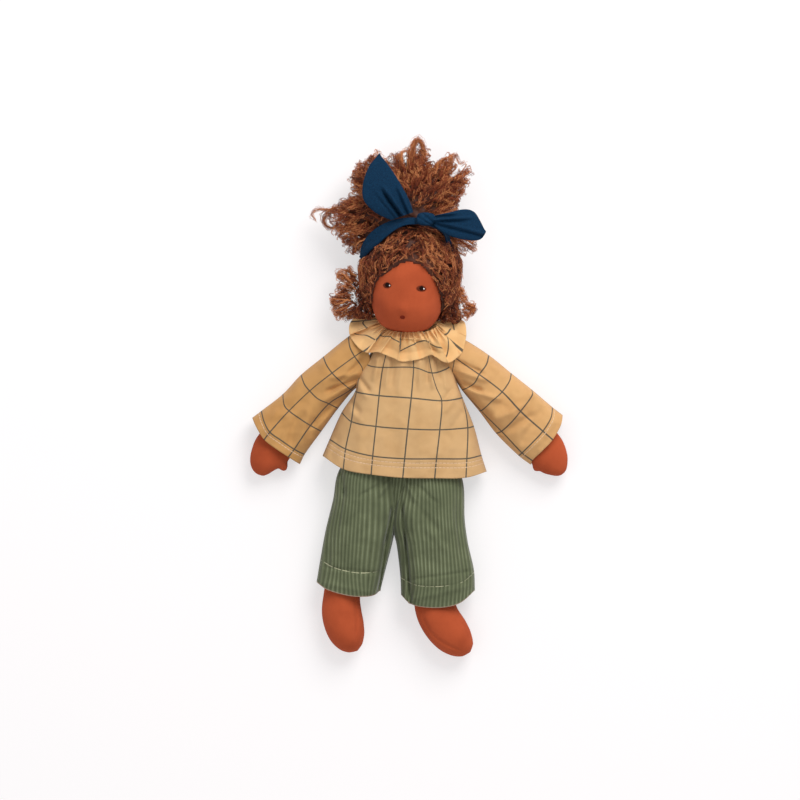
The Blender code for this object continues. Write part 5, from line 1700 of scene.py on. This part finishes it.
@dataclass
class Collar:
    """The ruffled collar: a strip gathered on elastic round the neck, pleated where it lies on the blouse.

    The stations hold: place round the neck, inner X, Y and Z, outer X, Y and Z.
    The lines hold where the check runs.
    """

    under: Under
    stations: Stations = (
        (0, -17, 71, 22, -38, 72, 16), (0.05, -19.5, 69.5, 24, -42.6, 65, 18),
        (0.1, -19.5, 67, 27, -42.3, 57.6, 22), (0.15, -19, 65, 30, -39.2, 52.6, 26),
        (0.2, -17.3, 63.4, 33, -34.3, 47.8, 30), (0.25, -14.7, 62.3, 35, -29.2, 45.4, 33),
        (0.3, -11.4, 61.8, 35.5, -22.5, 46.4, 35), (0.345, -8.7, 61.5, 36, -17.1, 45, 36),
        (0.385, -6.6, 61.4, 36, -10.2, 42.8, 36.5), (0.42, -3.8, 61.6, 36, -5.1, 40.9, 36.5),
        (0.46, -0.4, 62.1, 36, 1.9, 41.8, 36.5), (0.505, 3.6, 62.5, 36, 9.8, 44.2, 36.5),
        (0.545, 7.4, 62.8, 35.5, 15.6, 46.8, 36), (0.58, 10.3, 63.1, 35, 19.8, 45.2, 36),
        (0.615, 12.8, 63.8, 34.5, 25, 42.5, 35.5), (0.65, 15.2, 65, 34, 29.5, 42.8, 34),
        (0.685, 17.6, 66.5, 33.5, 33.6, 46, 32), (0.72, 18, 67.6, 30, 36.9, 49.8, 29),
        (0.76, 18, 68.8, 27, 38.7, 56.2, 26), (0.8, 17, 70, 24, 39.2, 65, 22),
        (0.835, 14.5, 71, 21, 36.5, 72.5, 16), (0.87, 13, 70, 15, 27, 72, 5),
        (0.92, -1, 68, 11, -1, 52, 2.5), (0.965, -14, 70, 15, -29, 72, 5), (1, -17, 71, 22, -38, 72, 16),
    )
    pleats: tuple[tuple[float, float, float, float], ...] = (
        (0.085, 0.1, 2.2, 0.014), (0.21, 0.245, 3.2, 0.016), (0.315, 0.318, 1.8, 0.01),
        (0.395, 0.405, 3.8, 0.015), (0.485, 0.49, 1.4, 0.01), (0.565, 0.566, 3.2, 0.014),
        (0.655, 0.635, 2.9, 0.014), (0.735, 0.71, 2.4, 0.014), (0.79, 0.785, 1.2, 0.01),
    )
    lines: Stations = (
        (0, 0.4), (0.05, 0.6), (0.087, 0.5), (0.101, 0.95), (0.15, 0.6), (0.222, 0.44), (0.24, 0.3),
        (0.3, 0.27), (0.345, 0.32), (0.392, 0.44), (0.41, 0.72), (0.44, 0.55), (0.5, 0.4), (0.56, 0.42),
        (0.6, 0.5), (0.635, 0.6), (0.651, 0.85), (0.69, 0.55), (0.712, 0.4), (0.728, 0.32), (0.77, 0.45),
        (0.8, 0.6), (1, 0.4),
    )
    cut: float = 21.0

    @cached_property
    def _form(self) -> Profile:
        """The stations as a profile."""
        return Profile(self.stations)

    def place(self, around: float, run: float) -> tuple[Vector, tuple[float, float]]:
        """A point of the collar.

        Args:
            around: From 0 to 1 round the neck, over the front first.
            run: From 0 at the neck to 1 at the outer edge.

        Returns:
            The point and its place on the cloth, in millimetres.
        """
        shift = lift = 0.0
        fan = ease(run * 2.2)
        for inner, outer, high, wide in self.pleats:
            side = (around - (inner + (outer - inner) * run)) / wide
            fade = math.exp(-(side**2) / 2.5)
            shift -= 1.75 * wide * side * fade * fan
            steep = (0.5 - 0.5 * math.tanh(3.6 * side)) * math.exp(-(side**2) / 7)
            lift += high * 1.3 * steep * (0.35 + 0.65 * fan)
        front = 1 - ease((around - 0.82) / 0.03) if around > 0.5 else ease((around + 0.01) / 0.03)
        values = self._form.at(min(max(around + shift, 0), 1))
        inner, outer = Vector(values[0:3]), Vector(values[3:6])
        point = inner.lerp(outer, run)
        gather = math.sin(math.tau * 29 * around + 3 * ripple(9 * around, 0, 0, 5))
        roll = math.sin(math.pi * min(run * 1.4, 1))
        lift += 1.5 * gather * (1 - ease(run * 1.7)) * (0.6 + 0.4 * ease(run * 8)) + 1.8 * roll
        lift += 1.3 * ripple(14 * around, 1.6 * run, 0, 8)
        lift += 0.9 * math.sin(math.tau * 13 * around + 1) * ease(run * 1.3) + 1.5 * ease(run * 3 - 2)
        if front > 0.5:
            point.z = max(point.z, self.under.top(point.x, point.y) + 0.9)
        point.z = max(point.z + lift * front, 0.8)
        return point, (123 * around - 5, (run - Profile(self.lines).at(around)[0]) * self.cut)

    def build(self) -> None:
        """Builds the collar."""
        # Painted light: the collar's cotton is paler than the blouse's, though it is the same cloth, as the
        # raised collar catches more light.
        look = CheckCotton("collar_cotton", colour="#EDC084", shade="#D9A868").material()
        made = thicken(surface("collar_cloth", 640, 44, self.place, closed=False), 0.45)
        fit(made, look, "check_cotton", "torso", "ruffle_collar")


# The arms and legs


@dataclass
class Arm:
    """One arm: the sleeve and the stuffed arm with its mitten hand."""

    side: Side
    skin: bpy.types.Material
    drop: float
    net: Net
    cuff_line: float
    folds: Stations
    form: Stations
    thumb: tuple[Vector, Vector]

    def build(self) -> bpy.types.Object:
        """Builds the sleeve and the arm.

        Returns:
            The sleeve.
        """
        name = self.side.label
        arm = surface(f"{name}_arm", 64, 100, Stuffed(self.form).place)
        mesh = bmesh.new()
        mesh.from_mesh(arm.data)
        root, tip = self.thumb
        ahead = (tip - root).normalized()
        turn = Matrix((ahead.cross(Vector((0, 0, 1))), ahead, Vector((0, 0, 1)))).transposed()
        for vert in bmesh.ops.create_uvsphere(mesh, u_segments=28, v_segments=20, radius=1)["verts"]:
            spot = Vector((4.3 * vert.co.x, (tip - root).length * vert.co.y, 5.2 * vert.co.z))
            vert.co = (root + turn @ spot) * MM
        mesh.to_mesh(arm.data)
        mesh.free()
        melt(arm, 0.8)
        fit(arm, self.skin, "jersey", f"{name}_arm", f"{name}_arm_skin", f"{name}_arm_wool")

        rise = (
            (0, 9.5, 14, 9, 2.3), (0.3, 10.5, 15.5, 10, 2.2),
            (0.75, 13, 17.5, 12.5, 2.2), (1, 15, 15, 14, 2.2),
        )
        seed = 5 + self.side.value
        form = Garment(self.net, rise, self.folds, Under(arm), upper=0.58, seed=seed, rough=1.3, clear=0.9)
        # Painted shade: the right sleeve's cotton is darker than the left's, though both are the same cloth.
        side_shaded_colour, deep = ("#C69558", "#AF7C40") if self.side is Side.RIGHT else ("#D5A66C", "#C18E55")
        look = CheckCotton(
            f"{name}_sleeve_cotton",
            along_start=self.cuff_line,
            hems=(self.cuff_line - 2.2,),
            colour=side_shaded_colour,
            shade=deep,
        ).material()
        cloth = f"{name}_sleeve_cloth"
        sleeve = garment(cloth, form, (170, 130), 0.5, look)
        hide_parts(f"{name}_sleeve")
        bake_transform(sleeve)
        return sleeve


def melt(made: bpy.types.Object, voxel: float) -> None:
    """Fuses overlapping stuffed forms into one skin and smooths their joins.

    Args:
        made: The piece.
        voxel: The remesh's grain, in millimetres.
    """
    fuse = made.modifiers.new("fuse", "REMESH")
    fuse.mode = "VOXEL"
    fuse.voxel_size = voxel * MM
    fuse.use_smooth_shade = True
    soft = made.modifiers.new("soft", "SMOOTH")
    soft.factor = 0.6
    soft.iterations = 7
    apply_modifiers(made)
    made.data.shade_smooth()


RIGHT_ARM = (
    (0, -34.8, 45, 12.5, 0.5, 0.5), (0.05, -35.6, 44.1, 12.5, 5.5, 5.5),
    (0.14, -39.4, 39.5, 12, 8.6, 8.6), (0.3, -46.7, 30.8, 11.8, 11.5, 9.8),
    (0.55, -67.8, 5.4, 11.5, 11.2, 9.6), (0.7, -81.5, -12, 11, 11.5, 8.8),
    (0.78, -88.6, -23, 11, 13.6, 8.4), (0.85, -92.2, -29.5, 11, 13.4, 8.2),
    (0.91, -95.2, -35.5, 10.5, 11.3, 7.6), (0.955, -96.2, -40.5, 10, 8.6, 6.2),
    (0.99, -96, -44.6, 9.5, 4.2, 3.6), (1, -95.8, -46, 9.3, 0.4, 0.4),
)
LEFT_ARM = (
    (0, 33.8, 44.1, 12.5, 0.5, 0.5), (0.05, 34.8, 43.3, 12.5, 5.5, 5.5), (0.14, 39.5, 39.6, 12, 8.6, 8.6),
    (0.3, 48.4, 32.6, 11.8, 11.5, 9.8), (0.55, 74.4, 12.2, 11.5, 11.2, 9.6),
    (0.7, 90, -1.5, 11, 11.8, 8.8), (0.78, 98.8, -11.5, 11, 13.6, 8.4), (0.85, 103.6, -18, 11, 13, 8.2),
    (0.91, 107.8, -23.5, 10.5, 10.6, 7.4), (0.955, 110.6, -27.5, 10, 7, 5.8),
    (0.99, 112, -30.2, 9.5, 3.4, 3.2), (1, 112.4, -31, 9.3, 0.4, 0.4),
)
RIGHT_LEG = (
    (0, -25, -46, 17, 0.5, 0.5), (0.05, -25, -48, 17, 10, 10), (0.15, -25, -59, 17, 14, 14, 15.8),
    (0.35, -28, -85, 14, 13, 12.4), (0.55, -33.5, -112, 12.4, 12.6, 11),
    (0.66, -34.9, -125, 12.4, 12.8, 11.2), (0.77, -34.2, -137.5, 12.4, 13.9, 11.8),
    (0.87, -30.6, -149, 12.4, 13.4, 11.4), (0.94, -26.2, -157, 11.8, 10.6, 9.4),
    (0.985, -22.6, -162, 11.2, 5.4, 5), (1, -21.4, -163.6, 11, 0.4, 0.4),
)
LEFT_LEG = (
    (0, 25, -46, 17, 0.5, 0.5), (0.05, 25, -48, 17, 10, 10), (0.15, 25, -59, 17, 14, 14, 15.8),
    (0.35, 27, -85, 14, 13, 12.4), (0.55, 28.8, -112, 12.4, 13, 11), (0.66, 30.2, -126, 12.4, 14.2, 11.4),
    (0.77, 34.6, -137, 12.4, 14.4, 12), (0.87, 43, -147, 12.4, 13.8, 11.4),
    (0.94, 50.4, -153.6, 11.8, 10.8, 9.4), (0.985, 56, -157.8, 11.2, 5.6, 5),
    (1, 57.6, -159, 11, 0.4, 0.4),
)


@dataclass
class Leg:
    """One stuffed leg with its foot, and the trouser leg round it."""

    side: Side
    skin: bpy.types.Material
    cord: bpy.types.Material
    net: Net
    folds: Stations
    form: Stations
    seam: float

    @cached_property
    def _shape(self) -> Stuffed:
        """The leg without its seam."""
        return Stuffed(self.form)

    def foot(self, around: float, run: float) -> tuple[Vector, tuple[float, float]]:
        """A point of the leg, with the seam that is sewn along the top of the foot."""
        point, cloth = self._shape.place(around, run)
        turn = math.tau * around - math.pi / 2
        groove = ridge(math.cos(turn), self.seam * (1 - 0.5 * ease((run - 0.8) * 5)), 0.075)
        sewn = ease((run - 0.6) * 9) * (1 - ease((run - 0.9) * 12))
        point.z -= 1.1 * groove * max(math.sin(turn), 0) * sewn
        return point, cloth

    def build(self) -> bpy.types.Object:
        """Builds the leg and its trouser leg.

        Returns:
            The trouser leg.
        """
        name = self.side.label
        leg = surface(f"{name}_leg", 96, 130, self.foot)
        fit(leg, self.skin, "jersey", f"{name}_leg", f"{name}_leg_skin", f"{name}_leg_wool")

        rise = (
            (0, 12, 14.5, 11.5, 2.4), (0.14, 12.5, 15.5, 12, 2.4), (0.5, 14.5, 17.5, 14, 2.4),
            (0.69, 16, 16.5, 15.5, 2.4), (0.8, 17, 15.5, 16, 2.3), (1, 19, 13, 17.5, 2.2),
        )
        seed = 8 + self.side.value
        form = Garment(self.net, rise, self.folds, Under(leg), upper=0.6, seed=seed, rough=1.0, clear=1.0)
        cloth = garment(
            f"{name}_trouser_cloth", form, (190, 150), 0.8, self.cord
        )
        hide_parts(f"{name}_trouser_leg")
        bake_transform(cloth)
        return cloth


SEAT = Net((
        (50, ((-6, -5.5, -62), (0, -1.4, -64), (6, 3, -62.5))),
        (60, ((-14, -13, -54), (0, -1.2, -55.5), (14, 12, -54))),
        (78, ((-19, -19, -38), (0, -0.5, -38), (19, 18.5, -38))),
        (112, ((-21, -20.5, -5), (0, 0, -5), (21, 20.5, -5))),
))


def trouser_seat(cord: bpy.types.Material, under: Under) -> bpy.types.Object:
    """Builds the seat that joins the trouser legs."""
    rise = ((0, 15, 6, 13, 2.2), (0.16, 16, 8, 15, 2.2), (0.45, 17, 12, 16, 2.3), (1, 17.5, 13.5, 16.5, 2.3))
    form = Garment(SEAT, rise, SEAT_FOLDS, under, upper=0.55, seed=4, rough=0.8, clear=1.2)
    made = garment("trouser_seat_cloth", form, (80, 70), 0.7, cord)
    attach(made, "torso")
    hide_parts("trouser_seat")
    return made


@dataclass
class Torso:
    """The stuffed body under the clothes."""

    skin: bpy.types.Material

    def build(self) -> bpy.types.Object:
        """Builds the body's skin, which fills the blouse and the trousers' seat."""
        form = Stuffed(
            (
                (0, 0, -41, 17, 0.5, 0.5), (0.05, 0, -39, 17, 17, 6, 9), (0.2, 0, -28, 17.5, 25, 10, 14.5),
                (0.5, 0, -2, 19, 27, 15, 15.5), (0.75, 0, 24, 19, 25, 15.5, 16), (0.92, -1, 46, 20, 20, 14),
                (1, -3.7, 57, 23, 10.5, 10.5),
            ),
            level_across=True,
        )
        made = surface("torso", 64, 60, form.place)
        fit(made, self.skin, "jersey", "torso", "torso_skin", "torso_wool")
        return made


# The studio


@dataclass
class Studio:
    """The floor, the soft light and the camera straight above the doll."""

    aim: Vector = field(default_factory=lambda: Vector((-3.8, 14.0, 25.0)))
    seen: float = 560.0
    height: float = 6000.0
    roll: float = math.radians(4)
    glow: float = 0.55
    sensor: float = 36.0

    def floor(self) -> None:
        """The white paper that the doll lies on, whose shadows the camera sees paler than they are."""
        mesh = bmesh.new()
        bmesh.ops.create_grid(mesh, x_segments=1, y_segments=1, size=4)
        bmesh.ops.translate(mesh, verts=mesh.verts, vec=(0, 0, -0.1 * MM))
        made = piece("floor", mesh)
        graph = Graph("paper")
        grain = graph.grain(graph.place(), 900)
        colour = graph.tint(grain * 0.15, paint("#FFFAF9"), paint("#FCF3F3"))
        graph.finish(colour, 0.9, Specular_IOR_Level=0.1)
        seen = graph.node("ShaderNodeLightPath")
        white = graph.node("ShaderNodeEmission", sockets={"Color": (1, 1, 1, 1), "Strength": 1.0})
        shader = Value(graph, graph.shader.outputs[0])
        mixed = graph.node("ShaderNodeMixShader", sockets={0: seen * self.glow, 1: shader, 2: white})
        graph.feed(graph.tree.nodes["Material Output"].inputs[0], mixed)
        made.data.materials.append(graph.material)

    def lamp(self, name: str, place: tuple[float, float, float], size: float, power: float) -> None:
        """One soft square lamp, turned to the doll.

        Args:
            name: The lamp's name.
            place: Where it hangs, in metres.
            size: Its side, in metres.
            power: Its power, in watts.
        """
        light = bpy.data.lights.new(name, "AREA")
        light.size = size
        light.energy = power
        made = bpy.data.objects.new(name, light)
        made.location = place
        made.rotation_euler = (-Vector(place)).to_track_quat("-Z", "Y").to_euler()
        bpy.context.collection.objects.link(made)

    def camera(self) -> None:
        """The camera at the photograph's angle and frame."""
        lens = bpy.data.cameras.new("camera")
        lens.sensor_width = self.sensor
        lens.lens = self.sensor * (self.height - self.aim.z) / self.seen
        made = bpy.data.objects.new("camera", lens)
        made.location = Vector((self.aim.x, self.aim.y, self.height)) * MM
        made.rotation_euler = (0, 0, self.roll)
        bpy.context.collection.objects.link(made)
        bpy.context.scene.camera = made

    def build(self) -> None:
        """Sets the floor, lamps, world, camera and view."""
        self.floor()
        self.lamp("key", (0.45, 1.1, 1.15), 1.0, 21.0)
        self.lamp("fill", (-0.6, -0.3, 1.6), 1.4, 4.0)
        world = bpy.data.worlds.new("studio")
        world.use_nodes = True
        sky = world.node_tree.nodes["Background"]
        sky.inputs["Color"].default_value = (0.97, 0.96, 1.0, 1)
        sky.inputs["Strength"].default_value = 0.55
        bpy.context.scene.world = world
        bpy.context.scene.view_settings.view_transform = "Standard"
        self.camera()


def dress_inner_nodes() -> None:
    """Gives the hidden pieces that stay as they are their own finishes."""
    thread = Thread("seam_thread", "#8E3C24", "#B05A3C").material()
    elastic = Thread("elastic_cord", "#EDE8DD", "#FFFFFF").material()
    wool = Thread("stuffing_wool", "#E8DFCC", "#F6F0E4").material()
    looks = {
        "left_shoulder_thread": thread,
        "right_shoulder_thread": thread,
        "neck_elastic": elastic,
        "waist_elastic": elastic,
    }
    for name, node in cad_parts.items():
        node.data.materials.clear()
        node.data.materials.append(looks.get(name, wool))


def main() -> None:
    """Builds the doll and its studio."""
    logging.basicConfig(level=logging.INFO, format="%(name)s: %(message)s")
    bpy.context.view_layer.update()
    dress_inner_nodes()
    skin = Jersey().material()
    cord = Corduroy().material()
    Head(skin).build()
    band = Headband(Linen().material())
    Hair(band).build()
    band.build()
    torso = Torso(skin).build()
    seat = trouser_seat(cord, Under(torso))
    right_leg = Leg(Side.RIGHT, skin, cord, RIGHT_TROUSER, RIGHT_TROUSER_FOLDS, RIGHT_LEG, 0.72).build()
    left_leg = Leg(Side.LEFT, skin, cord, LEFT_TROUSER, LEFT_TROUSER_FOLDS, LEFT_LEG, -0.72).build()
    waist, neck = (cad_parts[name] for name in ("waist_elastic", "neck_elastic"))
    blouse = Blouse(Under(torso, seat, right_leg, left_leg, waist)).build()
    left_sleeve = Arm(
        side=Side.LEFT,
        skin=skin,
        drop=math.radians(38.1),
        net=LEFT_SLEEVE,
        cuff_line=9.3,
        folds=LEFT_SLEEVE_FOLDS,
        form=LEFT_ARM,
        thumb=(Vector((96.5, -21.5, 10)), Vector((94.6, -29.4, 9.5))),
    ).build()
    right_sleeve = Arm(
        side=Side.RIGHT,
        skin=skin,
        drop=math.radians(50.2),
        net=RIGHT_SLEEVE,
        cuff_line=6.5,
        folds=RIGHT_SLEEVE_FOLDS,
        form=RIGHT_ARM,
        thumb=(Vector((-84.6, -33.2, 10)), Vector((-80.8, -41.4, 9.5))),
    ).build()
    Collar(Under(blouse, left_sleeve, right_sleeve, torso, neck)).build()
    Studio().build()


if __name__ == "__main__":
    main()
